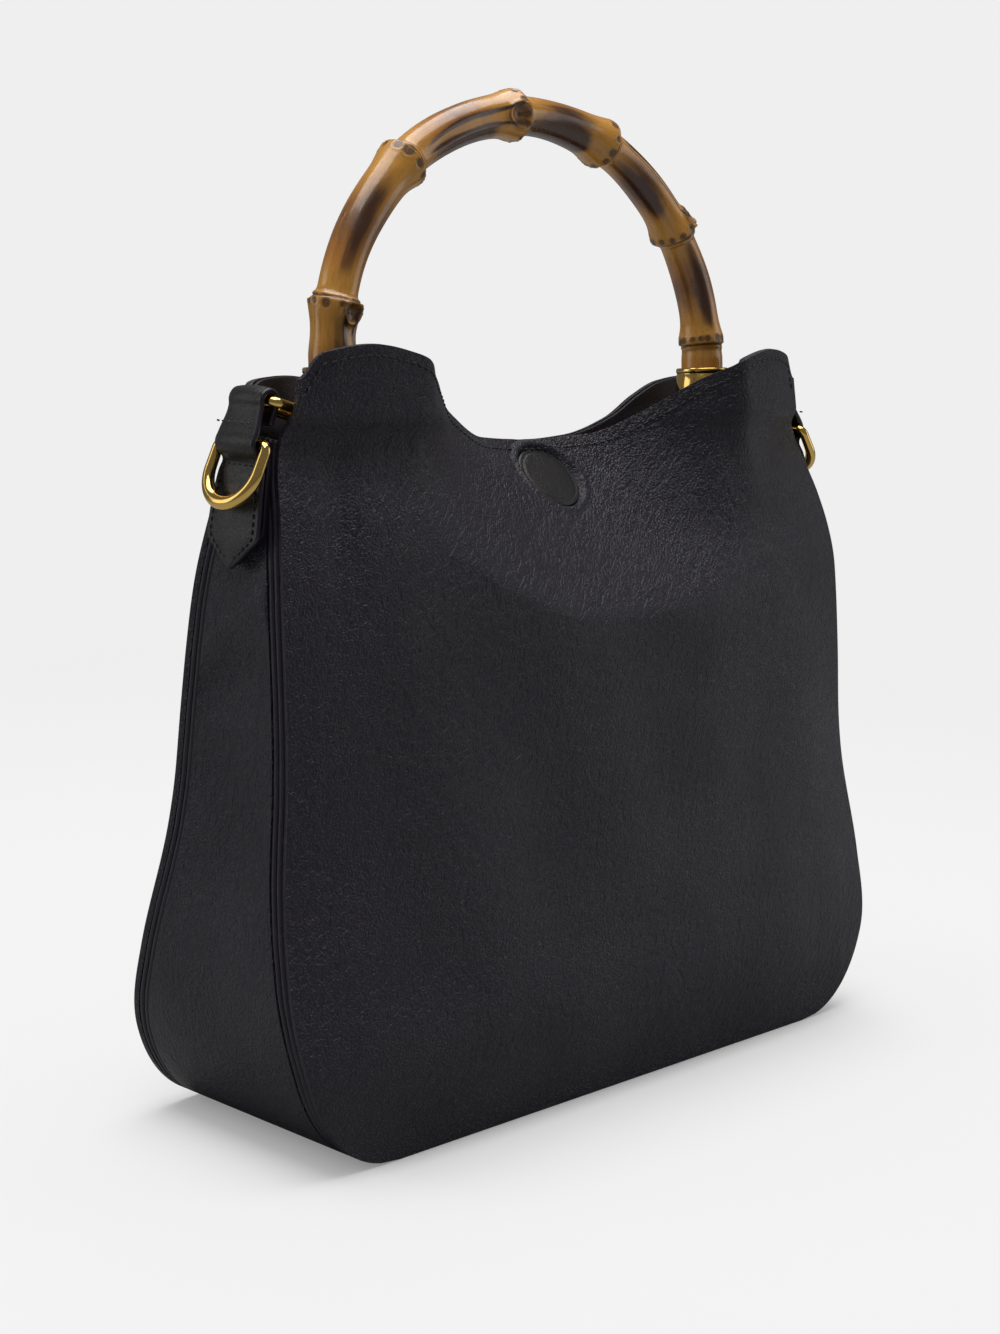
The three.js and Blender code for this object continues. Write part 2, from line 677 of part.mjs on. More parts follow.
// A ring of wire through corners in its own XY plane, each rounded.
function wireRing(corners, radii, wire) {
  const count = corners.length;
  const ends = corners.map((corner, i) => {
    const before = corners[(i + count - 1) % count].clone().sub(corner).normalize();
    const after = corners[(i + 1) % count].clone().sub(corner).normalize();
    const half = before.angleTo(after) / 2;
    const cut = radii[i] / Math.tan(half);
    return {
      from: corner.clone().addScaledVector(before, cut),
      to: corner.clone().addScaledVector(after, cut),
      centre: corner.clone().addScaledVector(
        before.clone().add(after).normalize(),
        radii[i] / Math.sin(half),
      ),
    };
  });
  const stations = [];
  ends.forEach(({ from, to, centre }, i) => {
    const steps = Math.max(3, Math.round(radii[i] / 1.6));
    const start = from.clone().sub(centre);
    const end = to.clone().sub(centre);
    let turn = Math.atan2(end.y, end.x) - Math.atan2(start.y, start.x);
    turn = Math.atan2(Math.sin(turn), Math.cos(turn));
    for (let k = 0; k <= steps; k++) {
      const angle = Math.atan2(start.y, start.x) + (turn * k) / steps;
      const out = v2(Math.cos(angle), Math.sin(angle));
      const point = centre.clone().addScaledVector(out, radii[i]);
      stations.push({
        at: new THREE.Vector3(point.x, point.y, 0),
        across: new THREE.Vector3(out.x, out.y, 0),
        radius: wire(point),
      });
    }
  });
  return bar(stations, new THREE.Vector3(0, 0, 1), WIRE_SIDES, true);
}

// The D-ring, its bar at the origin and its bow along +X.
function dRing() {
  const corners = [
    v2(0, -D_HALF_WIDTH),
    v2(D_DROP, -D_HALF_WIDTH),
    v2(D_DROP, D_HALF_WIDTH),
    v2(0, D_HALF_WIDTH),
  ];
  const bow = D_HALF_WIDTH - 0.2;
  const swell = (point) => D_WIRE + D_WIRE_SWELL * Math.max(0, point.x / D_DROP) ** 2;
  return wireRing(corners, [2.4, bow, bow, 2.4], swell);
}

// ---- Handle rings -------------------------------------------------------------------------------

// Each ring runs from its loop in and down to the handle's eye.
const RING_RUN = LEFT.top - HANDLE_FOOT;
const RING_LENGTH = Math.hypot(RING_RUN, TOP_LOOP.z - EYE.z);
const RING_FALL = Math.atan2(TOP_LOOP.z - EYE.z, RING_RUN);

// The handle ring, its outer bar at the origin and its inner bar along +X.
function handleRing() {
  const narrow = RING_HALF_WIDTH - 1.2;
  const corners = [
    v2(0, -RING_HALF_WIDTH),
    v2(RING_LENGTH, -narrow),
    v2(RING_LENGTH, narrow),
    v2(0, RING_HALF_WIDTH),
  ];
  const rounds = [RING_CORNER - 1.6, RING_CORNER, RING_CORNER, RING_CORNER - 1.6];
  return wireRing(corners, rounds, () => RING_WIRE);
}

for (const [name, side, place] of [
  ["left", LEFT, mirrored],
  ["right", RIGHT, (geometry) => geometry],
]) {
  const hanging = dRing().rotateY(side.hang).translate(side.ring, 0, RING_LOOP_HEIGHT);
  const reaching = handleRing().rotateY(Math.PI - RING_FALL).translate(side.top, 0, TOP_LOOP.z);
  add(bag, name + "_tab", place(tab(side)), TAB_LEATHER);
  add(bag, name + "_tab_backing", place(tabBacking(side)), TAB_LEATHER);
  add(bag, name + "_d_ring", place(hanging), BRASS);
  add(bag, name + "_handle_ring", place(reaching), BRASS);
}

// ---- Handle -------------------------------------------------------------------------------------

// The handle is drawn upright about its eyes' axis, and then leans back. Its two rings are alike, so
// its right foot stands in by as much as the right loop does, and its middle by half as much.
const HANDLE_HALF_SPAN = (HANDLE_FOOT + RIGHT.top - RING_RUN) / 2;
const handle = new THREE.Group();
handle.position.set(HANDLE_HALF_SPAN - HANDLE_FOOT, EYE.y, EYE.z);
handle.rotation.x = -THREE.MathUtils.degToRad(HANDLE_LEAN);
bag.add(handle);

const SPRING = HANDLE_SPRING - EYE.z;
const CUP_FLOOR = EYE_HOLE + EYE_WALL + EYE_NECK; // height of the ferrule's cup over the eye's axis
const BAMBOO_FOOT = CUP_FLOOR + FERRULE_WALL + GAP;
const FOOT_RADIUS = BAMBOO_RADIUS + 0.8;

// Thickness of the bamboo at an angle round the arch: swollen at each node, slim just after it.
function bambooRadius(angle) {
  let radius = BAMBOO_RADIUS;
  for (const node of NODE_ANGLES) {
    const away = angle - node;
    const spread = away < 0 ? 7 : 3.2;
    radius += NODE_SWELL * Math.exp(-((away / spread) ** 2));
  }
  return radius;
}

function bamboo() {
  const stations = [];
  const legSteps = 2;
  const archSteps = 52;
  const left = new THREE.Vector3(-1, 0, 0);
  for (let i = 0; i < legSteps; i++) {
    const z = BAMBOO_FOOT + ((SPRING - BAMBOO_FOOT) * i) / legSteps;
    stations.push({ at: new THREE.Vector3(-HANDLE_HALF_SPAN, 0, z), across: left, radius: FOOT_RADIUS });
  }
  for (let i = 0; i <= archSteps; i++) {
    const angle = (180 * i) / archSteps;
    const turn = THREE.MathUtils.degToRad(angle);
    const foot = Math.exp(-(((90 - Math.abs(angle - 90)) / 5) ** 2));
    stations.push({
      at: new THREE.Vector3(
        -HANDLE_HALF_SPAN * Math.cos(turn),
        0,
        SPRING + HANDLE_RISE * Math.sin(turn),
      ),
      across: new THREE.Vector3(
        -HANDLE_RISE * Math.cos(turn),
        0,
        HANDLE_HALF_SPAN * Math.sin(turn),
      ).normalize(),
      radius: bambooRadius(angle) * (1 - foot) + FOOT_RADIUS * foot,
    });
  }
  for (let i = legSteps - 1; i >= 0; i--) {
    const z = BAMBOO_FOOT + ((SPRING - BAMBOO_FOOT) * i) / legSteps;
    stations.push({
      at: new THREE.Vector3(HANDLE_HALF_SPAN, 0, z),
      across: left.clone().negate(),
      radius: FOOT_RADIUS,
    });
  }
  let solid = toSolid(bar(stations, new THREE.Vector3(0, 1, 0), BAMBOO_SIDES, false));
  for (const side of [-1, 1]) solid = solid.subtract(toSolid(pinHole(side)));
  return toGeometry(solid);
}

const PIN_HEIGHT = CUP_FLOOR + FERRULE_WALL + FERRULE_LENGTH / 2;
const CUP_INNER = FOOT_RADIUS + GAP;
const CUP_OUTER = CUP_INNER + FERRULE_WALL;
const pinHole = (side) =>
  crossCylinder(PIN_RADIUS + PIN_CLEARANCE, 4 * CUP_OUTER, side * HANDLE_HALF_SPAN, 0, PIN_HEIGHT, 12);

// A brass cup over the bamboo's foot, with a flat eye below it for the handle ring.
function ferrule(side) {
  const x = side * HANDLE_HALF_SPAN;
  const top = CUP_FLOOR + FERRULE_WALL + FERRULE_LENGTH;
  const profile = [
    v2(0, CUP_FLOOR),
    v2(CUP_OUTER - 1.5, CUP_FLOOR),
    v2(CUP_OUTER, CUP_FLOOR + 1.5),
    v2(CUP_OUTER, top),
    v2(CUP_INNER, top),
    v2(CUP_INNER, CUP_FLOOR + FERRULE_WALL),
    v2(0, CUP_FLOOR + FERRULE_WALL),
  ];
  const cup = new THREE.LatheGeometry(profile, 20).rotateX(Math.PI / 2).translate(x, 0, 0);
  const round = EYE_HOLE + EYE_WALL;
  const neck = new THREE.BoxGeometry(2 * round, EYE_THICKNESS, CUP_FLOOR + 0.6);
  neck.translate(x, 0, (CUP_FLOOR + 0.6) / 2);
  const solid = toSolid(cup)
    .add(toSolid(neck))
    .add(toSolid(crossCylinder(round, EYE_THICKNESS, x, 0, 0, 24)))
    .subtract(toSolid(crossCylinder(EYE_HOLE, 20, x, 0, 0, 24)))
    .subtract(toSolid(pinHole(side)));
  return toGeometry(solid);
}

add(handle, "bamboo_handle", bamboo(), BAMBOO);
for (const [name, side] of [
  ["left", -1],
  ["right", 1],
]) {
  add(handle, name + "_ferrule", ferrule(side), BRASS);
  const length = 2 * CUP_OUTER + 0.6;
  const pin = crossCylinder(PIN_RADIUS, length, side * HANDLE_HALF_SPAN, 0, PIN_HEIGHT, 10);
  add(handle, name + "_ferrule_pin", pin, BRASS);
}

export default bag;
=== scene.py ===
"""A black leather shoulder bag with a bamboo top handle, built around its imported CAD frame."""

import json
import math

import bmesh
import bpy
import numpy as np
from bpy.props import FloatProperty, FloatVectorProperty, PointerProperty
from mathutils import Matrix, Vector


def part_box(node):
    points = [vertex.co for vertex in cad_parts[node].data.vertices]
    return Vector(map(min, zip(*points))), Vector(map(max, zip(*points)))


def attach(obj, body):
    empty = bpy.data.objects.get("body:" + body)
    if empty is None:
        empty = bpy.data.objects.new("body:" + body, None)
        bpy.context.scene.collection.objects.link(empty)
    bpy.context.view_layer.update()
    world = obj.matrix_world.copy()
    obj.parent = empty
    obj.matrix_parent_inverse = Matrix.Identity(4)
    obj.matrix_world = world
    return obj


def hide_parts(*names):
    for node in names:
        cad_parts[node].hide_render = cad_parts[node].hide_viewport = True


bl_info = {
    "name": "Bamboo Handle Bag",
    "version": (1, 0, 0),
    "blender": (4, 5, 0),
    "location": "3D View > Sidebar > Bag",
    "description": "Builds a soft leather shoulder bag with a bent bamboo handle",
    "category": "Object",
}

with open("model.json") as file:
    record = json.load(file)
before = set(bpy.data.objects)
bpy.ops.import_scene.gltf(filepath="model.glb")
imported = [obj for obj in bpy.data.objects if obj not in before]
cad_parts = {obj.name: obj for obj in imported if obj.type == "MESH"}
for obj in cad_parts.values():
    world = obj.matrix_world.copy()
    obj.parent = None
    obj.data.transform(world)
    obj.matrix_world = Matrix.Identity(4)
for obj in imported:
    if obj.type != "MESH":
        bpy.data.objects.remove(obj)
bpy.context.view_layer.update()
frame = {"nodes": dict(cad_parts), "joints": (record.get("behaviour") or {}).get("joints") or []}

MM = 0.001
BAG = "bag"
SIDES = (("left", -1), ("right", 1))

# ---- Places taken from the frame ----------------------------------------------------------------

PANEL_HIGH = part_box("front_panel")[1]
GUSSET_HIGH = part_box("gusset")[1]
JOINTS = {joint["name"]: joint for joint in frame["joints"]}
EYE_AXIS = Vector(JOINTS["handle_swing"]["pos_m"])
D_PIVOTS = {name: Vector(JOINTS[name + "_d_ring_swing"]["pos_m"]) for name, _ in SIDES}
RING_PIVOTS = {name: Vector(JOINTS[name + "_handle_ring_play"]["pos_m"]) for name, _ in SIDES}
D_HEIGHT = D_PIVOTS["left"].z
TOP_LOOP_HEIGHT = RING_PIVOTS["left"].z


# ---- Sizes and colours that a user may change ---------------------------------------------------


def length(name, description, default):
    return FloatProperty(name=name, description=description, default=default, unit="LENGTH", precision=5)


def share(name, description, default, high=1.0):
    return FloatProperty(name=name, description=description, default=default, min=0.0, max=high)


def colour(name, description, default):
    return FloatVectorProperty(
        name=name, description=description, default=default, size=3, subtype="COLOR", min=0.0, max=1.0
    )


class BagLeatherSettings(bpy.types.PropertyGroup):
    thickness: length("Leather", "Thickness of the panels and the gusset", 2.2 * MM)
    facing: length("Facing", "Thickness of the leather inside the mouth", 1.2 * MM)
    lining: length("Lining", "Thickness of the cloth lining", 0.8 * MM)
    piping: length("Piping", "Radius of the piping cords", 1.1 * MM)
    softness: length("Softness", "Height of the slow waves in the panels", 1.1 * MM)
    creases: length("Creases", "Height of the short creases at the ears", 0.22 * MM)
    base: colour("Leather Colour", "Colour of the black hide", (0.0135, 0.0102, 0.0190))
    strap: colour("Strap Colour", "Colour of the tabs", (0.0105, 0.0098, 0.011))
    cloth: colour("Lining Colour", "Colour of the lining cloth", (0.05, 0.043, 0.036))
    grain: FloatProperty(name="Grain", description="Pebbles of grain to the metre", default=820.0)
    roughness: share("Roughness", "Roughness of the hide", 0.45)


class BagStitchSettings(bpy.types.PropertyGroup):
    pitch: length("Stitch Pitch", "Distance from one stitch to the next", 3.1 * MM)
    thread: length("Thread", "Radius of the thread", 0.34 * MM)
    inset: length("Inset", "Distance of the edge stitching from the edge", 3.4 * MM)
    thread_colour: colour("Thread Colour", "Colour of the thread", (0.012, 0.012, 0.013))


class BagBambooSettings(bpy.types.PropertyGroup):
    radius: length("Cane Radius", "Radius of the cane between its nodes", 7.0 * MM)
    swell: length("Node Swell", "How much thicker a node is", 2.5 * MM)
    honey: colour("Honey", "Pale colour of the cane beside its nodes", (0.66, 0.31, 0.05))
    amber: colour("Amber", "Middle colour of the cane", (0.40, 0.145, 0.018))
    burnt: colour("Burnt", "Colour of the scorched streaks", (0.045, 0.014, 0.0075))
    scar: colour("Root Scars", "Colour of the root dots and the bud scars", (0.030, 0.0085, 0.004))


class BagBrassSettings(bpy.types.PropertyGroup):
    tone: colour("Brass", "Colour of the plated rings", (0.86, 0.60, 0.20))
    roughness: share("Roughness", "Roughness of the plating", 0.13)


class BagStageSettings(bpy.types.PropertyGroup):
    backdrop: share("Backdrop", "Brightness of the floor and the background", 0.863)
    room: share("Room", "Brightness of the room that lights the bag", 0.15)
    key: FloatProperty(name="Key Light", description="Power of the main light in watts", default=26.0)
    fill: share("Fill Lights", "Power of the side lights, as a share of the main light", 0.13)
    reach: length("Floor Radius", "Size of the floor", 6.0)


# ---- Small mathematics --------------------------------------------------------------------------


def through(pairs):
    """A smooth function through pairs of (input, value), held level past its ends."""
    xs, ys = np.array(pairs, float).T
    slope = np.diff(ys) / np.diff(xs)
    tangent = np.zeros(len(xs))
    before, after = slope[:-1], slope[1:]
    same = before * after > 0
    tangent[1:-1][same] = 2 * before[same] * after[same] / (before[same] + after[same])

    def value(x):
        x = np.clip(x, xs[0], xs[-1])
        i = np.clip(np.searchsorted(xs, x, side="right") - 1, 0, len(xs) - 2)
        span = xs[i + 1] - xs[i]
        t = (x - xs[i]) / span
        back = (1 - t) ** 2
        return (
            ys[i] * back * (1 + 2 * t)
            + tangent[i] * span * back * t
            + ys[i + 1] * t * t * (3 - 2 * t)
            - tangent[i + 1] * span * t * t * (1 - t)
        )

    return value


def bell(x, middle, width):
    return np.exp(-(((x - middle) / width) ** 2))


def step(x, start, end):
    t = np.clip((x - start) / (end - start), 0, 1)
    return t * t * (3 - 2 * t)


def waves(x, z, seed, wavelength, heading, spread, count=9):
    """Long-crested waves of about one wavelength and heading, between -1 and 1."""
    random = np.random.default_rng(seed)
    total = np.zeros(np.broadcast(x, z).shape)
    for _ in range(count):
        turn = heading + random.uniform(-spread, spread)
        pitch = wavelength * random.uniform(0.7, 1.45)
        phase = random.uniform(0, 2 * math.pi)
        total = total + np.sin(2 * math.pi * (x * math.cos(turn) + z * math.sin(turn)) / pitch + phase)
    return total / math.sqrt(count) / 1.6


# ---- The shape of the body, as the CAD source draws it ------------------------------------------

HALF_WIDTH = PANEL_HIGH.x
CORNER_RISE, CORNER_RUN, CORNER_POWER = 57 * MM, 41 * MM, 2.2
SEAM_TOP = GUSSET_HIGH.z
EDGE_TOP = 244 * MM
TOP_HALF_WIDTH = HALF_WIDTH - 17 * MM
RIGHT_SLUMP, RIGHT_BEND = 13.5 * MM, 54 * MM
DIP_SHIFT = 0.07
FRONT_DIP, FRONT_EAR = 221 * MM, 255 * MM
BACK_DIP, BACK_EAR, BACK_CORNER_DROP = 220 * MM, 243 * MM, 7 * MM
EAR_MIDDLE = 106 * MM
BASE_HALF_DEPTH = 44 * MM
SEAM_TOP_HALF_DEPTH = 10.5 * MM
EAR_CORNER_DEPTH = 14.3 * MM
GAP = 0.3 * MM
MID_HEIGHT = (CORNER_RISE + SEAM_TOP) / 2

side_width = through(
    [
        (CORNER_RISE, HALF_WIDTH),
        (MID_HEIGHT - 20 * MM, HALF_WIDTH - 5.5 * MM),
        (MID_HEIGHT + 30 * MM, HALF_WIDTH - 6.5 * MM),
        (SEAM_TOP - 18 * MM, HALF_WIDTH - 10 * MM),
        (EDGE_TOP, TOP_HALF_WIDTH),
    ]
)
slump = through(
    [
        (SEAM_TOP - RIGHT_BEND, 0),
        (SEAM_TOP - RIGHT_BEND * 0.7, RIGHT_SLUMP * 0.14),
        (SEAM_TOP - RIGHT_BEND * 0.25, RIGHT_SLUMP * 0.57),
        (EDGE_TOP, RIGHT_SLUMP),
        (EDGE_TOP + RIGHT_BEND, RIGHT_SLUMP * 1.8),
    ]
)


def half_width(z):
    """Distance of the left seam from the middle, at a height."""
    z = np.asarray(z, float)
    drop = np.clip((CORNER_RISE - z) / CORNER_RISE, 0, 1)
    corner = HALF_WIDTH - CORNER_RUN * (1 - (1 - drop**CORNER_POWER) ** (1 / CORNER_POWER))
    return np.where(z >= CORNER_RISE, side_width(z), corner)


def side_line(sign, z):
    """Distance of a side's seam from the middle: the soft right side leans in near its top."""
    return half_width(z) - (slump(z) if sign > 0 else 0)


def from_dip(across):
    """Distance from the dip along the upper edge, on the scale that the edge's outlines are drawn to."""
    return np.abs(across - DIP_SHIFT * (1 - across**2) * (1 + across)) * TOP_HALF_WIDTH


half_depth = through(
    [
        (0, BASE_HALF_DEPTH),
        (30 * MM, BASE_HALF_DEPTH - 1 * MM),
        (60 * MM, BASE_HALF_DEPTH - 7.5 * MM),
        (100 * MM, BASE_HALF_DEPTH - 15.5 * MM),
        (140 * MM, BASE_HALF_DEPTH - 18.5 * MM),
        (180 * MM, BASE_HALF_DEPTH - 23 * MM),
        (200 * MM, BASE_HALF_DEPTH - 27 * MM),
        (SEAM_TOP, SEAM_TOP_HALF_DEPTH),
        (SEAM_TOP + 7 * MM, EAR_CORNER_DEPTH),
        (EDGE_TOP, EAR_CORNER_DEPTH + 0.5 * MM),
    ]
)
fullness = through(
    [(0, 0), (0.03, 6 * MM), (0.06, 8 * MM), (0.1, 9.5 * MM), (0.14, 9 * MM), (0.18, 9 * MM), (0.255, 9 * MM)]
)


def edge_height(dip, ear, corner):
    rise = ear - dip
    return through(
        [
            (0, dip),
            (25 * MM, dip + 1.5 * MM),
            (50 * MM, dip + rise * 0.32),
            (70 * MM, dip + rise * 0.68),
            (88 * MM, dip + rise * 0.92),
            (EAR_MIDDLE, ear),
            (TOP_HALF_WIDTH - 8 * MM, ear - (ear - corner) * 0.25),
            (TOP_HALF_WIDTH, corner),
        ]
    )


CORNER_STAND = float(half_depth(EDGE_TOP))


def front_waves(x, z, look):
    """How far soft waves and creases stand out of the front."""
    slow = look.softness * waves(x, z, 11, 85 * MM, 1.1, 0.9) * step(z, 20 * MM, 90 * MM)
    slow = slow * (1 - step(np.abs(x), 95 * MM, 135 * MM))
    shelf = 2.0 * MM * bell(z, 158 * MM + 0.12 * x, 16 * MM) * step(x, -20 * MM, 40 * MM)
    dent = -2.2 * MM * bell(z, 186 * MM + 0.06 * x, 13 * MM) * step(x, 0, 60 * MM)
    broad = (1 - step(x, 100 * MM, 140 * MM)) * (shelf + dent)
    fold = -2.4 * MM * bell(x, -119 * MM + 0.12 * (z - 210 * MM), 6.5 * MM) * bell(z, 205 * MM, 24 * MM)
    away = (x + 26 * MM) * 0.63 + (z - 212 * MM) * 0.776
    along = (x + 26 * MM) * 0.776 - (z - 212 * MM) * 0.63
    ridge = 2.6 * MM * bell(away, 0, 9 * MM) * bell(along, 2 * MM, 26 * MM)
    broad = broad + fold + ridge
    ear = bell(x, -104 * MM, 30 * MM) * bell(z, 196 * MM, 34 * MM)
    crease = look.creases * waves(x, z, 5, 7 * MM, -0.75, 0.35, 12) * ear
    fine = 0.35 * look.creases * waves(x, z, 6, 6 * MM, 1.35, 0.7, 14) * bell(z, 150 * MM, 70 * MM)
    return slow + broad + crease + fine


def back_waves(x, z, look):
    slow = look.softness * waves(x, z, 23, 95 * MM, 1.2, 0.9) * step(z, 20 * MM, 90 * MM)
    fine = 0.4 * look.creases * waves(x, z, 7, 7 * MM, 1.3, 0.7, 14) * bell(z, 150 * MM, 80 * MM)
    return slow * (1 - step(np.abs(x), 95 * MM, 135 * MM)) + fine


class Panel:
    """The front or the back of the bag: its upper edge, how far that stands out, and its waves."""

    def __init__(self, side, dip, ear, corner, stand, reach, ripple):
        self.side, self.reach, self.ripple = side, reach, ripple
        self.edge = edge_height(dip, ear, corner)
        self.stand = through(stand)

    def point(self, across, z, look):
        """A point of the outer face: across is -1 at the left seam and 1 at the right one."""
        u = np.abs(across)
        belly = half_depth(z) + fullness(z) * (1 - u**4)
        top = self.edge(from_dip(across))
        reach = 12 * MM + (self.reach - 12 * MM) * (1 - u**6)
        pull = np.clip(1 - (top - z) / reach, 0, None) ** 1.4
        x = across * half_width(z) - slump(z) * (1 + across) / 2
        depth = belly * (1 - pull) + self.stand(from_dip(across)) * pull
        calm = (1 - u**8) * step(z, 4 * MM, 24 * MM)
        depth = depth + self.ripple(x, z, look) * calm
        return np.stack([x, self.side * depth, np.broadcast_to(z, x.shape)], -1)

    def normal(self, across, z, look):
        """The outward direction there."""
        small = 0.5 * MM
        du = small / TOP_HALF_WIDTH
        along_x = self.point(np.minimum(1, across + du), z, look) - self.point(
            np.maximum(-1, across - du), z, look
        )
        low = np.maximum(0, z - small)
        along_z = self.point(across, low + 2 * small, look) - self.point(across, low, look)
        along_z[..., 0] = 0
        along_x[..., 2] = 0
        turned = np.cross(along_z, along_x) * self.side
        return turned / np.linalg.norm(turned, axis=-1, keepdims=True)


FRONT = Panel(
    -1,
    FRONT_DIP,
    FRONT_EAR,
    EDGE_TOP,
    [
        (0, -18 * MM),
        (15 * MM, -16.5 * MM),
        (50 * MM, -4 * MM),
        (70 * MM, 11 * MM),
        (85 * MM, 22 * MM),
        (100 * MM, 22 * MM),
        (TOP_HALF_WIDTH - 14 * MM, (22 * MM + CORNER_STAND) / 2 + 1 * MM),
        (TOP_HALF_WIDTH, CORNER_STAND),
    ],
    58 * MM,
    front_waves,
)
BACK = Panel(
    1,
    BACK_DIP,
    BACK_EAR,
    EDGE_TOP - BACK_CORNER_DROP,
    [
        (0, 25 * MM),
        (60 * MM, 25 * MM),
        (95 * MM, 24 * MM),
        (TOP_HALF_WIDTH - 14 * MM, (25 * MM + CORNER_STAND) / 2 + 1 * MM),
        (TOP_HALF_WIDTH, CORNER_STAND),
    ],
    40 * MM,
    back_waves,
)

MAGNET_DROP = 17 * MM
COVER_RADIUS = 13 * MM
RECESS_DEPTH = 1.5 * MM


def magnet_place(panel, look):
    """The middle of the magnet on the panel's face, and the face's direction there."""
    top = float(panel.edge(0))
    dip = np.array([DIP_SHIFT])
    slope = panel.normal(dip, np.array([top - MAGNET_DROP / 2]), look)[0]
    height = np.array([top - MAGNET_DROP * abs(slope[1])])
    return panel.point(dip, height, look)[0], panel.normal(dip, height, look)[0]


# ---- Meshes -------------------------------------------------------------------------------------


def new_object(name, points, faces, materials, smooth=True):
    mesh = bpy.data.meshes.new(name)
    mesh.from_pydata([tuple(p) for p in points], [], [tuple(f) for f in faces])
    mesh.update()
    turn_outwards(mesh)
    for material in materials:
        mesh.materials.append(material)
    mesh.polygons.foreach_set("use_smooth", [smooth] * len(mesh.polygons))
    piece = bpy.data.objects.new(name, mesh)
    bpy.context.scene.collection.objects.link(piece)
    return piece


def turn_outwards(mesh):
    """Turns a closed mesh the right way out, by the sign of its volume."""
    work = bmesh.new()
    work.from_mesh(mesh)
    if work.calc_volume(signed=True) < 0:
        bmesh.ops.reverse_faces(work, faces=work.faces)
        work.to_mesh(mesh)
    work.free()


def quads(rows, cols, wrap_rows=False, wrap_cols=False, start=0):
    """The faces of a grid of points, row by row."""
    i = np.arange(rows if wrap_rows else rows - 1)[:, None]
    j = np.arange(cols if wrap_cols else cols - 1)[None, :]
    down, right = (i + 1) % rows, (j + 1) % cols
    faces = np.stack([i * cols + j, i * cols + right, down * cols + right, down * cols + j], -1)
    return faces.reshape(-1, 4) + start


def capped_tube(rows, cols):
    """The faces of a tube of rings, with a lid at each end."""
    last = (rows - 1) * cols
    faces = [tuple(f) for f in quads(rows, cols, wrap_cols=True)]
    return faces + [tuple(reversed(range(cols))), tuple(range(last, last + cols))]


def sheet_object(name, outer, inner, materials, bevel):
    """A closed sheet between two grids of points, with its edges rounded."""
    rows, cols = outer.shape[:2]
    count = rows * cols
    points = np.concatenate([outer.reshape(-1, 3), inner.reshape(-1, 3)])
    front = quads(rows, cols)
    back = quads(rows, cols, start=count)[:, ::-1]
    index = np.arange(count).reshape(rows, cols)
    border = np.concatenate([index[0, :], index[1:, -1], index[-1, -2::-1], index[-2:0:-1, 0]])
    after = np.roll(border, -1)
    rim = np.stack([border, border + count, after + count, after], -1)
    piece = new_object(name, points, np.concatenate([front, back, rim]), materials)
    if bevel:
        soften(piece, bevel)
    return piece


def soften(piece, width, segments=2, angle=50):
    """Rounds the sharp edges of a piece."""
    rounding = piece.modifiers.new("rounded_edges", "BEVEL")
    rounding.width = width
    rounding.segments = segments
    rounding.limit_method = "ANGLE"
    rounding.angle_limit = math.radians(angle)
    rounding.harden_normals = False


def sweep_object(name, centres, outs, ups, radii, sides, materials, closed):
    """A round bar or ring along stations: each section is spanned by its out and up directions."""
    centres, outs, ups = (np.asarray(a, float) for a in (centres, outs, ups))
    turn = np.linspace(0, 2 * math.pi, sides, endpoint=False)
    radii = np.broadcast_to(np.asarray(radii, float).reshape(len(centres), -1), (len(centres), sides))
    points = (
        centres[:, None, :]
        + radii[..., None] * np.cos(turn)[None, :, None] * outs[:, None, :]
        + radii[..., None] * np.sin(turn)[None, :, None] * ups[:, None, :]
    )
    if closed:
        faces = quads(len(centres), sides, wrap_rows=True, wrap_cols=True)
    else:
        faces = capped_tube(len(centres), sides)
    return new_object(name, points.reshape(-1, 3), faces, materials)


def settle(piece, node, body):
    """Lets a piece stand for its CAD node, on the node's body."""
    if node:
        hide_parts(*([node] if isinstance(node, str) else node))
    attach(piece, body)
    return piece


# ---- Materials ----------------------------------------------------------------------------------


def socketed_group(name, inputs, outputs):
    """An empty shader group with named sockets, and its input and output nodes."""
    tree = bpy.data.node_groups.new(name, "ShaderNodeTree")
    for label, kind, default in inputs:
        socket = tree.interface.new_socket(label, in_out="INPUT", socket_type=kind)
        if default is not None:
            socket.default_value = default
    for label, kind in outputs:
        tree.interface.new_socket(label, in_out="OUTPUT", socket_type=kind)
    return tree, tree.nodes.new("NodeGroupInput"), tree.nodes.new("NodeGroupOutput")


def node(tree, kind, links=(), **values):
    """A node with its attributes set, and its inputs linked or set by name or number."""
    made = tree.nodes.new(kind)
    for key, value in values.items():
        setattr(made, key, value)
    for key, value in dict(links).items():
        if isinstance(value, bpy.types.NodeSocket):
            tree.links.new(value, made.inputs[key])
        else:
            made.inputs[key].default_value = value
    return made


def maths(tree, operation, a, b=None, c=None):
    links = {i: v for i, v in enumerate((a, b, c)) if v is not None}
    return node(tree, "ShaderNodeMath", links, operation=operation).outputs[0]


def remap(tree, value, low, high, to_low=0.0, to_high=1.0):
    links = {"Value": value, "From Min": low, "From Max": high, "To Min": to_low, "To Max": to_high}
    return node(tree, "ShaderNodeMapRange", links, interpolation_type="SMOOTHSTEP").outputs["Result"]


def blend_colours(tree, factor, first, second, mode="MIX"):
    made = node(tree, "ShaderNodeMix", data_type="RGBA", blend_type=mode)
    for number, value in ((0, factor), (6, first), (7, second)):
        if isinstance(value, bpy.types.NodeSocket):
            tree.links.new(value, made.inputs[number])
        elif number:
            made.inputs[number].default_value = (*value[:3], 1.0)
        else:
            made.inputs[number].default_value = value
    return made.outputs[2]


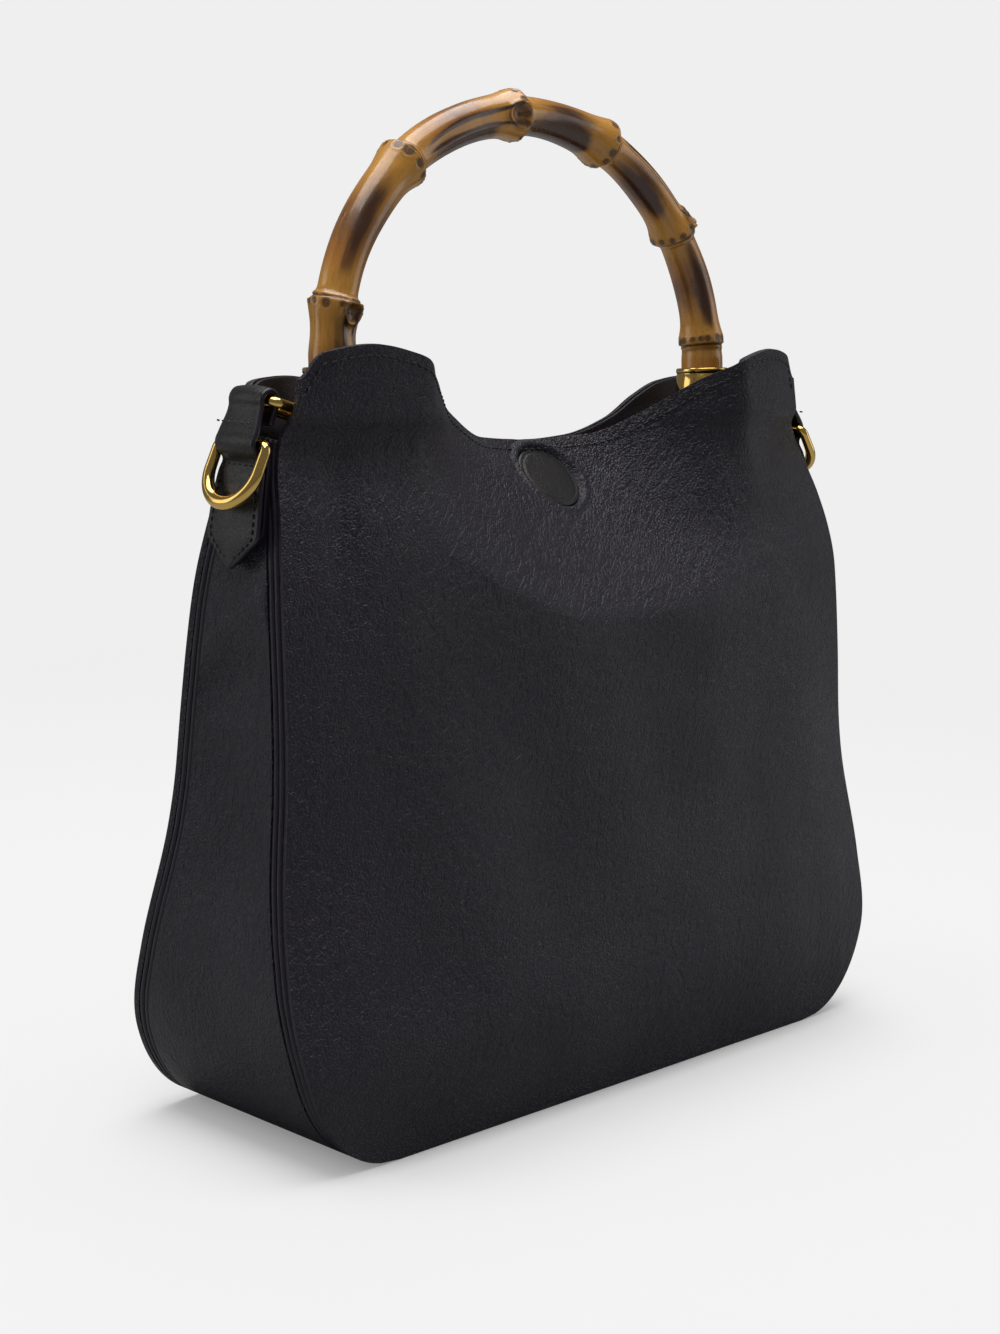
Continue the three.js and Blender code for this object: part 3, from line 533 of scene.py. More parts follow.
def noise(tree, vector, scale, detail=3.0, roughness=0.5, distortion=0.0):
    links = {"Vector": vector, "Scale": scale, "Detail": detail, "Roughness": roughness}
    links["Distortion"] = distortion
    return node(tree, "ShaderNodeTexNoise", links).outputs["Fac"]


def vectors(tree, operation, a, b=None):
    links = {0: a} if b is None else {0: a, 1: b}
    return node(tree, "ShaderNodeVectorMath", links, operation=operation).outputs[0]


def length_of(tree, vector):
    return node(tree, "ShaderNodeVectorMath", {0: vector}, operation="LENGTH").outputs["Value"]


def bands(tree, vector, scale, distortion, direction="X"):
    links = {"Vector": vector, "Scale": scale, "Distortion": distortion}
    return node(tree, "ShaderNodeTexWave", links, bands_direction=direction).outputs["Fac"]


def cell_edges(tree, vector, scale):
    """Distance to the nearest edge of a pattern of cells."""
    links = {"Vector": vector, "Scale": scale, "Randomness": 1.0}
    cells = node(tree, "ShaderNodeTexVoronoi", links, feature="DISTANCE_TO_EDGE")
    return cells.outputs["Distance"]


def leather_grain_group():
    """Pebbled grain with pores and fine creases: a height, a tone and a polish."""
    name = "leather_grain"
    if name in bpy.data.node_groups:
        return bpy.data.node_groups[name]
    tree, given, made = socketed_group(
        name,
        [
            ("Vector", "NodeSocketVector", None),
            ("Pebbles", "NodeSocketFloat", 800.0),
            ("Creasing", "NodeSocketFloat", 0.5),
        ],
        [("Height", "NodeSocketFloat"), ("Tone", "NodeSocketFloat"), ("Polish", "NodeSocketFloat")],
    )
    place = given.outputs["Vector"]
    drift = node(tree, "ShaderNodeTexNoise", {"Vector": place, "Scale": 240.0, "Detail": 2.0})
    shift = vectors(tree, "SUBTRACT", drift.outputs["Color"], (0.5, 0.5, 0.5))
    small = node(tree, "ShaderNodeVectorMath", {0: shift, "Scale": 0.0016}, operation="SCALE").outputs[0]
    warped = vectors(tree, "ADD", place, small)
    pebble = remap(tree, cell_edges(tree, warped, given.outputs["Pebbles"]), 0.0, 0.28)
    larger = maths(tree, "MULTIPLY", given.outputs["Pebbles"], 0.43)
    fold = remap(tree, cell_edges(tree, warped, larger), 0.0, 0.12)
    patch = remap(tree, noise(tree, place, 22.0, 3.0), 0.35, 0.62, 0.25, 1.0)
    slant = {"Vector": warped, "Rotation": (0.0, -0.85, 0.25), "Scale": (2.8, 1.0, 1.0)}
    long_way = node(tree, "ShaderNodeMapping", slant, vector_type="TEXTURE").outputs[0]
    ridge = noise(tree, long_way, 300.0, 3.0, 0.5, 0.5)
    crease = remap(tree, maths(tree, "ABSOLUTE", maths(tree, "SUBTRACT", ridge, 0.5)), 0.0, 0.13)
    crease_mix = maths(tree, "MULTIPLY", given.outputs["Creasing"], patch)
    creased = maths(tree, "MULTIPLY", maths(tree, "SUBTRACT", crease, 1.0), crease_mix)
    pores = noise(tree, place, 2600.0, 2.0)
    height = maths(tree, "MULTIPLY_ADD", pebble, 0.55, maths(tree, "MULTIPLY", fold, 0.32))
    height = maths(tree, "ADD", height, maths(tree, "MULTIPLY", creased, 1.5))
    height = maths(tree, "MULTIPLY_ADD", pores, 0.14, height)
    pebble_tone = maths(tree, "MULTIPLY", pebble, 0.4)
    tone = maths(tree, "MULTIPLY_ADD", noise(tree, place, 14.0, 4.0), 0.6, pebble_tone)
    tree.links.new(height, made.inputs["Height"])
    tree.links.new(tone, made.inputs["Tone"])
    tree.links.new(remap(tree, noise(tree, place, 21.0, 4.0), 0.3, 0.7), made.inputs["Polish"])
    return tree


def new_material(name, base, roughness, metallic=0.0, specular=0.5):
    """A material with an empty Principled shader to build on."""
    material = bpy.data.materials.new(name)
    material.use_nodes = True
    tree = material.node_tree
    shader = tree.nodes["Principled BSDF"]
    shader.inputs["Base Color"].default_value = (*base, 1.0)
    shader.inputs["Roughness"].default_value = roughness
    shader.inputs["Metallic"].default_value = metallic
    shader.inputs["Specular IOR Level"].default_value = specular
    material.diffuse_color = (*base, 1.0)
    return material, tree, shader


def object_place(tree):
    return node(tree, "ShaderNodeTexCoord").outputs["Object"]


def tinted(base, factor, lift=0.0):
    return tuple(c * factor + lift for c in base)


def bump(tree, shader, height, strength, distance, over=None):
    links = {"Height": height, "Strength": strength, "Distance": distance}
    if over is not None:
        links["Normal"] = over
    made = node(tree, "ShaderNodeBump", links)
    tree.links.new(made.outputs[0], shader.inputs["Normal"])
    return made.outputs[0]


def leather(name, base, roughness, pebbles, creasing, depth, polish=0.1, specular=0.4):
    """Dyed hide with grain: darker in its valleys, smoother where it is handled."""
    if name in bpy.data.materials:
        return bpy.data.materials[name]
    material, tree, shader = new_material(name, base, roughness, specular=specular)
    grain = node(tree, "ShaderNodeGroup", node_tree=leather_grain_group())
    tree.links.new(object_place(tree), grain.inputs["Vector"])
    grain.inputs["Pebbles"].default_value = pebbles
    grain.inputs["Creasing"].default_value = creasing
    shades = blend_colours(tree, grain.outputs["Tone"], tinted(base, 0.62), tinted(base, 1.35, 0.0015))
    tree.links.new(shades, shader.inputs["Base Color"])
    low, high = roughness - polish, roughness + polish
    rough = maths(tree, "MULTIPLY_ADD", grain.outputs["Polish"], high - low, low)
    tree.links.new(rough, shader.inputs["Roughness"])
    shader.inputs["Coat Weight"].default_value = 0.06
    shader.inputs["Coat Roughness"].default_value = 0.32
    bump(tree, shader, grain.outputs["Height"], 0.85, depth)
    return material


def edge_paint(base):
    """Glossy sealed edge of cut leather."""
    if "edge_paint" in bpy.data.materials:
        return bpy.data.materials["edge_paint"]
    material, tree, shader = new_material("edge_paint", base, 0.34)
    place = object_place(tree)
    tree.links.new(remap(tree, noise(tree, place, 180.0), 0.3, 0.7, 0.28, 0.42), shader.inputs["Roughness"])
    shades = blend_colours(tree, noise(tree, place, 60.0), tinted(base, 0.8), tinted(base, 1.3))
    tree.links.new(shades, shader.inputs["Base Color"])
    bump(tree, shader, noise(tree, place, 500.0, 4.0), 0.25, 0.15 * MM)
    return material


def lining_cloth(base):
    """Fine twill: diagonal ribs crossed by threads."""
    if "lining_cloth" in bpy.data.materials:
        return bpy.data.materials["lining_cloth"]
    material, tree, shader = new_material("lining_cloth", base, 0.86)
    place = object_place(tree)
    turned = node(tree, "ShaderNodeMapping", {"Vector": place, "Rotation": (0.0, 0.7, 0.0)}).outputs[0]
    ribs = bands(tree, turned, 260.0, 0.6)
    threads = bands(tree, place, 420.0, 0.8, "Z")
    weave = maths(tree, "MULTIPLY_ADD", ribs, 0.6, maths(tree, "MULTIPLY", threads, 0.4))
    tone = maths(tree, "MULTIPLY_ADD", noise(tree, place, 30.0), 0.5, maths(tree, "MULTIPLY", weave, 0.5))
    shades = blend_colours(tree, tone, tinted(base, 0.7), tinted(base, 1.4))
    tree.links.new(shades, shader.inputs["Base Color"])
    shader.inputs["Sheen Weight"].default_value = 0.3
    bump(tree, shader, weave, 0.5, 0.2 * MM)
    return material


def thread_material(base):
    """Waxed twisted thread."""
    if "waxed_thread" in bpy.data.materials:
        return bpy.data.materials["waxed_thread"]
    material, tree, shader = new_material("waxed_thread", base, 0.45)
    place = object_place(tree)
    twist = bands(tree, place, 900.0, 2.0)
    shades = blend_colours(tree, twist, tinted(base, 0.5), tinted(base, 2.2))
    tree.links.new(shades, shader.inputs["Base Color"])
    bump(tree, shader, twist, 0.4, 0.08 * MM)
    return material


def brass_material(look):
    """Polished gold-toned plating with faint scratches and a deeper tone in its hollows."""
    if "gold_brass" in bpy.data.materials:
        return bpy.data.materials["gold_brass"]
    material, tree, shader = new_material("gold_brass", look.tone, look.roughness, metallic=1.0)
    place = object_place(tree)
    long_way = node(tree, "ShaderNodeMapping", {"Vector": place, "Scale": (1.0, 7.0, 1.0)}).outputs[0]
    marks = noise(tree, long_way, 900.0, 5.0, 0.7)
    cloud = noise(tree, place, 130.0, 3.0)
    worn = maths(tree, "MULTIPLY_ADD", marks, 0.4, maths(tree, "MULTIPLY", cloud, 0.6))
    rough = remap(tree, worn, 0.3, 0.7)
    span = maths(tree, "MULTIPLY_ADD", rough, 0.14, look.roughness - 0.06)
    tree.links.new(span, shader.inputs["Roughness"])
    deep = tuple(c * f for c, f in zip(look.tone, (0.86, 0.78, 0.6)))
    tree.links.new(blend_colours(tree, cloud, look.tone, deep), shader.inputs["Base Color"])
    bump(tree, shader, marks, 0.06, 0.05 * MM)
    return material


def steel_material():
    if "nickel_steel" in bpy.data.materials:
        return bpy.data.materials["nickel_steel"]
    material, tree, shader = new_material("nickel_steel", (0.55, 0.55, 0.56), 0.3, metallic=1.0)
    place = object_place(tree)
    marks = noise(tree, place, 700.0, 4.0)
    tree.links.new(remap(tree, marks, 0.3, 0.7, 0.22, 0.42), shader.inputs["Roughness"])
    bump(tree, shader, marks, 0.1, 0.05 * MM)
    return material


def board_material():
    if "stiffener_board" in bpy.data.materials:
        return bpy.data.materials["stiffener_board"]
    material, tree, shader = new_material("stiffener_board", (0.33, 0.24, 0.15), 0.85)
    place = object_place(tree)
    long_way = node(tree, "ShaderNodeMapping", {"Vector": place, "Scale": (0.2, 1.0, 1.0)}).outputs[0]
    fibres = noise(tree, long_way, 900.0, 5.0, 0.65)
    colours = blend_colours(tree, fibres, (0.24, 0.16, 0.09), (0.42, 0.32, 0.21))
    tree.links.new(colours, shader.inputs["Base Color"])
    bump(tree, shader, fibres, 0.3, 0.1 * MM)
    return material


def bamboo_material(look):
    """Lacquered cane: honey beside the nodes, scorched brown between, dark where roots and buds were."""
    if "lacquered_bamboo" in bpy.data.materials:
        return bpy.data.materials["lacquered_bamboo"]
    material, tree, shader = new_material("lacquered_bamboo", look.amber, 0.27)
    place = node(tree, "ShaderNodeAttribute", attribute_name="cane").outputs["Vector"]
    honey = node(tree, "ShaderNodeAttribute", attribute_name="honey").outputs["Fac"]
    burn = node(tree, "ShaderNodeAttribute", attribute_name="burn").outputs["Fac"]
    scar = node(tree, "ShaderNodeAttribute", attribute_name="scar").outputs["Fac"]
    long_way = node(tree, "ShaderNodeMapping", {"Vector": place, "Scale": (0.11, 1.0, 1.0)}).outputs[0]
    fibre = noise(tree, long_way, 900.0, 5.0, 0.6, 0.15)
    streak = noise(tree, long_way, 260.0, 4.0, 0.55, 0.4)
    cloud = noise(tree, place, 55.0, 4.0, 0.6, 0.5)
    mottle = noise(tree, place, 210.0, 3.0, 0.6)
    pale = maths(tree, "ADD", honey, maths(tree, "MULTIPLY_ADD", cloud, 0.8, -0.4))
    ground = blend_colours(tree, remap(tree, pale, 0.0, 1.0), look.amber, look.honey)
    ground = blend_colours(tree, remap(tree, fibre, 0.42, 0.8, 0.0, 0.35), ground, look.burnt)
    scorch = maths(tree, "ADD", burn, maths(tree, "MULTIPLY_ADD", streak, 1.3, -0.72))
    scorch = maths(tree, "ADD", scorch, maths(tree, "MULTIPLY_ADD", mottle, 0.36, -0.18))
    ground = blend_colours(tree, remap(tree, scorch, 0.12, 0.95, 0.0, 0.94), ground, look.burnt)
    ground = blend_colours(tree, scar, ground, look.scar)
    tree.links.new(ground, shader.inputs["Base Color"])
    rough = maths(tree, "MULTIPLY_ADD", scar, 0.2, remap(tree, mottle, 0.3, 0.7, 0.2, 0.33))
    tree.links.new(rough, shader.inputs["Roughness"])
    shader.inputs["Coat Weight"].default_value = 0.4
    shader.inputs["Coat Roughness"].default_value = 0.09
    relief = maths(tree, "MULTIPLY_ADD", fibre, 0.5, maths(tree, "MULTIPLY", mottle, 0.5))
    bump(tree, shader, relief, 0.22, 0.15 * MM)
    return material


# ---- The leather body ---------------------------------------------------------------------------


def spaced(count, low, high, *crowds):
    """Values from low to high that crowd round each (middle, width, strength)."""
    fine = np.linspace(low, high, 4000)
    density = np.ones_like(fine)
    for middle, width, strength in crowds:
        density += strength * bell(fine, middle, width)
    total = np.concatenate([[0], np.cumsum((density[1:] + density[:-1]) / 2)])
    return np.interp(np.linspace(0, total[-1], count), total, fine)


def panel_grids(panel, look, shares, across, depths):
    """The grids of a layer of the panel at two depths under its outer face."""
    u, share_of = np.meshgrid(across, shares)
    z = share_of * panel.edge(from_dip(u))
    face, out = panel.point(u, z, look), panel.normal(u, z, look)
    grids = []
    for depth in depths:
        moved = face - depth * out
        moved[..., 2] = np.maximum(moved[..., 2], 0)
        grids.append(moved)
    return grids


def disc_relief(points, panel, look):
    """Sinks the face under the magnet's cover, and raises a soft ring round it."""
    centre, out = magnet_place(panel, look)
    away = np.linalg.norm(points - centre, axis=-1)
    sunk = -RECESS_DEPTH * (1 - step(away, COVER_RADIUS + 0.1 * MM, COVER_RADIUS + 1.3 * MM))
    ring = 0.75 * MM * bell(away, COVER_RADIUS + 2.0 * MM, 1.5 * MM)
    groove = -0.3 * MM * bell(away, COVER_RADIUS + 4.3 * MM, 0.8 * MM)
    return points + (sunk + ring + groove)[..., None] * out


def hide(look):
    return leather("black_hide", look.base, look.roughness, look.grain, 0.95, 0.34 * MM)


def trim_hide(look):
    return leather("trim_hide", look.base, look.roughness - 0.04, look.grain * 1.25, 0.5, 0.1 * MM)


def strap_hide(look):
    return leather("strap_hide", look.strap, 0.38, look.grain * 1.5, 0.35, 0.08 * MM, polish=0.06)


def facing_hide(look):
    return leather("facing_hide", look.base, 0.6, look.grain * 1.4, 0.4, 0.12 * MM)


def add_panel(name, panel, look, covered):
    shares = spaced(186, 0.0, 1.0, (0.925, 0.075, 1.6), (1.0, 0.02, 3.0), (0.0, 0.03, 1.2))
    across = spaced(226, -1.0, 1.0, (0.0, 0.13, 1.6), (-1.0, 0.04, 1.2), (1.0, 0.04, 1.2))
    outer, inner = panel_grids(panel, look, shares, across, (0.0, look.thickness))
    if covered:
        outer = disc_relief(outer, panel, look)
        inner = disc_relief(inner, panel, look)
    piece = sheet_object(name + "_leather", outer, inner, [hide(look), edge_paint(look.base)], 0.8 * MM)
    settle(piece, name + "_panel", BAG)


def seam_line(inwards, top, steps=150):
    """The seam in the XZ plane from the left seam's top round the bottom to the right's: points and
    outward directions, moved inwards by a distance."""
    corner = np.linspace(0, math.pi / 2, steps // 2)
    x = HALF_WIDTH - CORNER_RUN + CORNER_RUN * np.sin(corner) ** (2 / CORNER_POWER)
    z = CORNER_RISE - CORNER_RISE * np.cos(corner) ** (2 / CORNER_POWER)
    climb = np.linspace(CORNER_RISE, top, steps)[1:]
    floor = np.linspace(0, HALF_WIDTH - CORNER_RUN, steps // 2)[:-1]
    halves = []
    for _, sign in SIDES:
        bottom = [np.stack([floor, np.zeros_like(floor)], -1), np.stack([x, z], -1)]
        halves.append(np.concatenate([*bottom, np.stack([side_line(sign, climb), climb], -1)]))
    whole = np.concatenate([halves[0][:0:-1] * (-1, 1), halves[1]])
    gaps = np.linalg.norm(np.diff(whole, axis=0), axis=1)
    run = np.concatenate([[0], np.cumsum(gaps)])
    even = np.linspace(0, run[-1], 3 * steps)
    line = np.stack([np.interp(even, run, whole[:, 0]), np.interp(even, run, whole[:, 1])], -1)
    along = np.gradient(line, axis=0)
    along /= np.linalg.norm(along, axis=1, keepdims=True)
    out = np.stack([along[:, 1], -along[:, 0]], -1)
    return line - out * inwards, out, even


PIPE = 2.5 * MM
BAND_INSET = 2.2 * MM + GAP + 2 * PIPE
BAND_LINING_INSET = 5.2 * MM
INNER_SHARE = 0.965
FACING_DROP, FACING_TOP_GAP = 38 * MM, 0.35 * MM


def add_gusset(look):
    """The band round the sides and the bottom, with soft folds below the tabs."""
    line, out, _ = seam_line(0, SEAM_TOP)
    share_of = np.linspace(-1, 1, 61)
    half = half_depth(line[:, 1]) - BAND_INSET
    x = np.repeat(line[:, :1], len(share_of), 1)
    z = np.repeat(line[:, 1:], len(share_of), 1)
    y = half[:, None] * share_of[None, :]
    crown = (1 - share_of**2)[None, :]
    side_wall = step(z, 25 * MM, 60 * MM) * (1 - step(z, SEAM_TOP - 12 * MM, SEAM_TOP))
    sag = -2.2 * MM * crown * side_wall * bell(z, 105 * MM, 60 * MM)
    fold = 1.5 * MM * bell(z + 0.35 * y, 168 * MM, 9 * MM) - 1.5 * MM * bell(z + 0.35 * y, 152 * MM, 10 * MM)
    fold += 0.8 * MM * bell(z - 0.5 * y, 128 * MM, 9 * MM)
    ripple = look.softness * 0.55 * waves(y, z, 31, 42 * MM, 1.25, 0.6)
    ripple += look.creases * 0.7 * waves(y, z, 37, 7 * MM, 1.3, 0.6, 12) * bell(z, 165 * MM, 40 * MM)
    lift = (sag + (fold + ripple) * side_wall * np.sqrt(np.clip(crown, 0, 1))).astype(float)
    grids = []
    for depth in (0.0, look.thickness):
        move = lift - depth
        grid = np.stack([x + out[:, :1] * move, y, z + out[:, 1:] * move], -1)
        grid[..., 2] = np.maximum(grid[..., 2], 0)
        grids.append(grid)
    piece = sheet_object("gusset_leather", *grids, [hide(look)], 0.6 * MM)
    settle(piece, "gusset", BAG)


def add_cord(name, node_name, side, inside, radius, look):
    """A leather-covered cord that stands a little out of the seam."""
    line, out, run = seam_line(look.piping + 0.1 * MM, SEAM_TOP - 0.5 * MM)
    y = side * (half_depth(line[:, 1]) - inside)
    centres = np.stack([line[:, 0], y, line[:, 1]], -1)
    outs = np.stack([out[:, 0], np.zeros(len(out)), out[:, 1]], -1)
    along = np.gradient(centres, axis=0)
    along /= np.linalg.norm(along, axis=1, keepdims=True)
    ups = np.cross(along, outs)
    gather = 1 + 0.025 * np.sin(run / (2.6 * MM)) + 0.02 * np.sin(run / (7.3 * MM))
    piece = sweep_object(name, centres, outs, ups, radius * gather, 14, [trim_hide(look)], closed=False)
    vertices = piece.data.vertices
    places = np.empty(len(vertices) * 3)
    vertices.foreach_get("co", places)
    places[2::3] = np.maximum(places[2::3], 0)
    vertices.foreach_set("co", places)
    settle(piece, node_name, BAG)


# ---- The mouth ----------------------------------------------------------------------------------


def add_inner_layers(name, panel, look):
    """The facing at the mouth and the lining below it."""
    from_depth = look.thickness + GAP
    across = np.linspace(-INNER_SHARE, INNER_SHARE, 120)
    start = 1 - FACING_DROP / float(panel.edge(0))
    top = 1 - FACING_TOP_GAP / float(panel.edge(0))
    depths = (from_depth, from_depth + look.facing)
    grids = panel_grids(panel, look, np.linspace(start, top, 40), across, depths)
    piece = sheet_object(name + "_mouth_facing", *grids, [facing_hide(look)], 0.35 * MM)
    settle(piece, name + "_facing", BAG)
    depths = (from_depth, from_depth + look.lining)
    grids = panel_grids(panel, look, np.linspace(0.03, start - 0.005, 60), across, depths)
    piece = sheet_object(name + "_cloth_lining", *grids, [lining_cloth(look.cloth)], 0)
    settle(piece, name + "_lining", BAG)


def add_band_lining(look):
    line, out, _ = seam_line(0, SEAM_TOP - 2 * MM)
    share_of = np.linspace(-1, 1, 21)
    half = half_depth(line[:, 1]) - BAND_LINING_INSET
    grids = []
    for depth in (BAND_LINING_INSET, BAND_LINING_INSET + look.lining):
        move = -depth
        x = np.repeat(line[:, :1] + out[:, :1] * move, len(share_of), 1)
        z = np.repeat(line[:, 1:] + out[:, 1:] * move, len(share_of), 1)
        grids.append(np.stack([x, half[:, None] * share_of[None, :], z], -1))
    piece = sheet_object("gusset_cloth_lining", *grids, [lining_cloth(look.cloth)], 0)
    settle(piece, "gusset_lining", BAG)


def lathe_object(name, profile, centre, axis, sides, materials):
    """A turned piece: (radius, height) pairs round an axis, closed at both ends."""
    axis = Vector(axis).normalized()
    first = axis.orthogonal().normalized()
    second = axis.cross(first)
    turn = np.linspace(0, 2 * math.pi, sides, endpoint=False)
    ring = np.cos(turn)[:, None] * np.array(first) + np.sin(turn)[:, None] * np.array(second)
    points = [np.array(centre) + h * np.array(axis) + r * ring for r, h in profile]
    return new_object(name, np.concatenate(points), capped_tube(len(profile), sides), materials)


def add_magnet_cover(look):
    """The thin leather disc over the front magnet, softly domed, with a pressed line near its edge."""
    centre, out = magnet_place(FRONT, look)
    radius = COVER_RADIUS + 0.15 * MM
    profile = [(0.4 * MM, -1.3 * MM), (radius - 0.3 * MM, -1.3 * MM), (radius, -1.0 * MM)]
    for r in np.linspace(radius, 0.3 * MM, 34):
        edge = radius - r
        top = 0.15 * MM - 0.75 * MM * math.exp(-edge / (0.5 * MM))
        top -= 0.28 * MM * math.exp(-(((edge - 1.9 * MM) / (0.45 * MM)) ** 2))
        top += 0.3 * MM * (1 - (r / radius) ** 2)
        profile.append((r, top))
    piece = lathe_object("front_magnet_disc", profile, centre, out, 96, [strap_hide(look)])
    settle(piece, "front_magnet_cover", BAG)


# ---- Tabs ---------------------------------------------------------------------------------------

TAB_TIP, TAB_SHOULDER = 186 * MM, 196 * MM
TAB_OFFSET = 2.6 * MM
STRAP = 2.2 * MM
TOP_LOOP_OUTER = 4.1 * MM
D_LOOP_OUTER = 4.2 * MM
TAB_THICKNESS = 2.0 * MM
TAB_PITCH = 2.3 * MM
TAB_STITCH_INSET = 2.3 * MM

tab_half_width = through(
    [
        (TAB_TIP, 0.7 * MM),
        (TAB_TIP + 0.8 * MM, 1.9 * MM),
        (TAB_TIP + 3 * MM, 4.5 * MM),
        (TAB_TIP + 6 * MM, 7.9 * MM),
        (TAB_SHOULDER - 0.8 * MM, 11.4 * MM),
        (TAB_SHOULDER + 0.6 * MM, 12 * MM),
        (D_HEIGHT - 9 * MM, 10.4 * MM),
        (D_HEIGHT - 4 * MM, 9 * MM),
        (D_HEIGHT + 3 * MM, 9 * MM),
        (TOP_LOOP_HEIGHT - 3 * MM, 7.9 * MM),
        (TOP_LOOP_HEIGHT + 5 * MM, 7.8 * MM),
    ]
)


def tab_path(name, sign):
    """The strap's outer face in the XZ plane, from its tip up over both bars and down behind."""
    points = []
    ring, top = abs(D_PIVOTS[name].x), abs(RING_PIVOTS[name].x)
    for z in np.linspace(TAB_TIP, D_HEIGHT - 4.6 * MM, 70):
        points.append((float(side_line(sign, z)) + TAB_OFFSET + STRAP, z))
    lower_loop = (ring, D_HEIGHT, D_LOOP_OUTER, np.linspace(-46, 46, 34))
    upper_loop = (top, TOP_LOOP_HEIGHT, TOP_LOOP_OUTER, np.linspace(-28, 212, 60))
    for x, z, radius, degrees in (lower_loop, upper_loop):
        for angle in np.radians(degrees):
            points.append((x + radius * math.cos(angle), z + radius * math.sin(angle)))
    points.append((top - 2.6 * MM, TOP_LOOP_HEIGHT - 4.6 * MM))
    points.append((top - 1.6 * MM, D_HEIGHT + 5.5 * MM))
    points = np.array(points)
    for _ in range(5):
        points[1:-1] = (points[:-2] + 2 * points[1:-1] + points[2:]) / 4
    run = np.concatenate([[0], np.cumsum(np.linalg.norm(np.diff(points, axis=0), axis=1))])
    even = np.linspace(0, run[-1], 150)
    even = np.concatenate([np.linspace(0, even[6], 16)[:-1], even[6:]])
    return np.stack([np.interp(even, run, points[:, 0]), np.interp(even, run, points[:, 1])], -1)


def tab_crown(width):
    """How far the strap's middle stands above its edges."""
    return min(0.55 * MM, width * 0.06)


def tab_section(width, thick, points=13):
    """A strap's cross-section: crowned outside, flat inside, round painted edges."""
    crown = tab_crown(width)
    across = np.linspace(-1, 1, points)
    flat = width - min(thick, width * 0.9) * 0.5
    rise = crown * (1 - across**2) - 0.12 * MM * np.exp(-((1 - np.abs(across)) / 0.09) ** 2)
    outer = list(zip(across * flat, rise))
    edge = []
    for angle in np.linspace(math.pi / 2, -math.pi / 2, 9)[1:-1]:
        edge.append((flat + (width - flat) * math.cos(angle), -thick / 2 + thick / 2 * math.sin(angle)))
    inner = [(a * flat, -thick) for a in across[::-1]]
    other = [(-y, x) for y, x in edge[::-1]]
    return outer + edge + inner + other, points, len(edge)


def add_tab(name, sign, look):
    path = tab_path(name, sign)
    along = np.gradient(path, axis=0)
    along /= np.linalg.norm(along, axis=1, keepdims=True)
    out = np.stack([along[:, 1], -along[:, 0]], -1)
    rings, count = [], 0
    rise = np.maximum.accumulate(path[:, 1])
    for (x, z), (ox, oz), height in zip(path, out, rise):
        section, broad, narrow = tab_section(float(tab_half_width(height)), TAB_THICKNESS)
        count = len(section)
        rings.append([(sign * (x + h * ox), y, z + h * oz) for y, h in section])
    points = np.array(rings).reshape(-1, 3)
    materials = [strap_hide(look), edge_paint(look.strap)]
    piece = new_object(name + "_strap_tab", points, capped_tube(len(path), count), materials)
    place = np.arange((len(path) - 1) * count) % count
    painted = ((place >= broad - 1) & (place < broad + narrow)) | (place >= 2 * broad + narrow - 1)
    slots = np.concatenate([painted.astype(int), [1, 1]])
    piece.data.polygons.foreach_set("material_index", slots)
    settle(piece, name + "_tab", BAG)


def add_backing(name, sign, look):
    """The second layer behind the tab."""
    point = np.linspace(TAB_TIP + 1 * MM, TAB_SHOULDER, 24)
    straight = np.linspace(TAB_SHOULDER, D_HEIGHT - 4.3 * MM, 24)
    heights = np.concatenate([point, straight[1:]])
    across = np.linspace(-1, 1, 15)
    width = np.maximum(tab_half_width(heights - 1.0 * MM) - 0.7 * MM, 0.8 * MM)
    x = side_line(sign, heights) + GAP
    grids = []
    for offset in (1.95 * MM, 0.0):
        columns = [sign * (x + offset), width, heights]
        grid = np.stack([np.repeat(column[:, None], len(across), 1) for column in columns], -1)
        grid[..., 1] *= across
        grids.append(grid)
    piece = sheet_object(name + "_strap_backing", *grids, [edge_paint(look.strap)], 0.4 * MM)
    settle(piece, name + "_tab_backing", BAG)


# ---- Brass --------------------------------------------------------------------------------------


def ring_stations(corners, radii, steps=26, straight=14):
    """Points and outward directions round a plane ring with rounded corners."""
    corners = [np.array(c, float) for c in corners]
    count = len(corners)
    points, outs, ends = [], [], []
    for i, corner in enumerate(corners):
        before = corners[i - 1] - corner
        after = corners[(i + 1) % count] - corner
        before, after = before / np.linalg.norm(before), after / np.linalg.norm(after)
        half = math.acos(float(np.clip(before @ after, -1, 1))) / 2
        cut = radii[i] / math.tan(half)
        middle = before + after
        centre = corner + middle / np.linalg.norm(middle) * radii[i] / math.sin(half)
        ends.append((corner + before * cut, corner + after * cut, centre))
    for i, (start, end, centre) in enumerate(ends):
        first, last = start - centre, end - centre
        angle = math.atan2(first[1], first[0])
        turn = math.atan2(last[1], last[0]) - angle
        turn = math.atan2(math.sin(turn), math.cos(turn))
        for t in np.linspace(0, 1, steps + 1):
            out = np.array([math.cos(angle + turn * t), math.sin(angle + turn * t)])
            points.append(centre + radii[i] * out)
            outs.append(out)
        following = ends[(i + 1) % count][0]
        out = outs[-1]
        if np.linalg.norm(following - end) > 0.8 * MM:
            for t in np.linspace(0, 1, straight + 2)[1:-1]:
                points.append(end + (following - end) * t)
                outs.append(out)
    return np.array(points), np.array(outs)


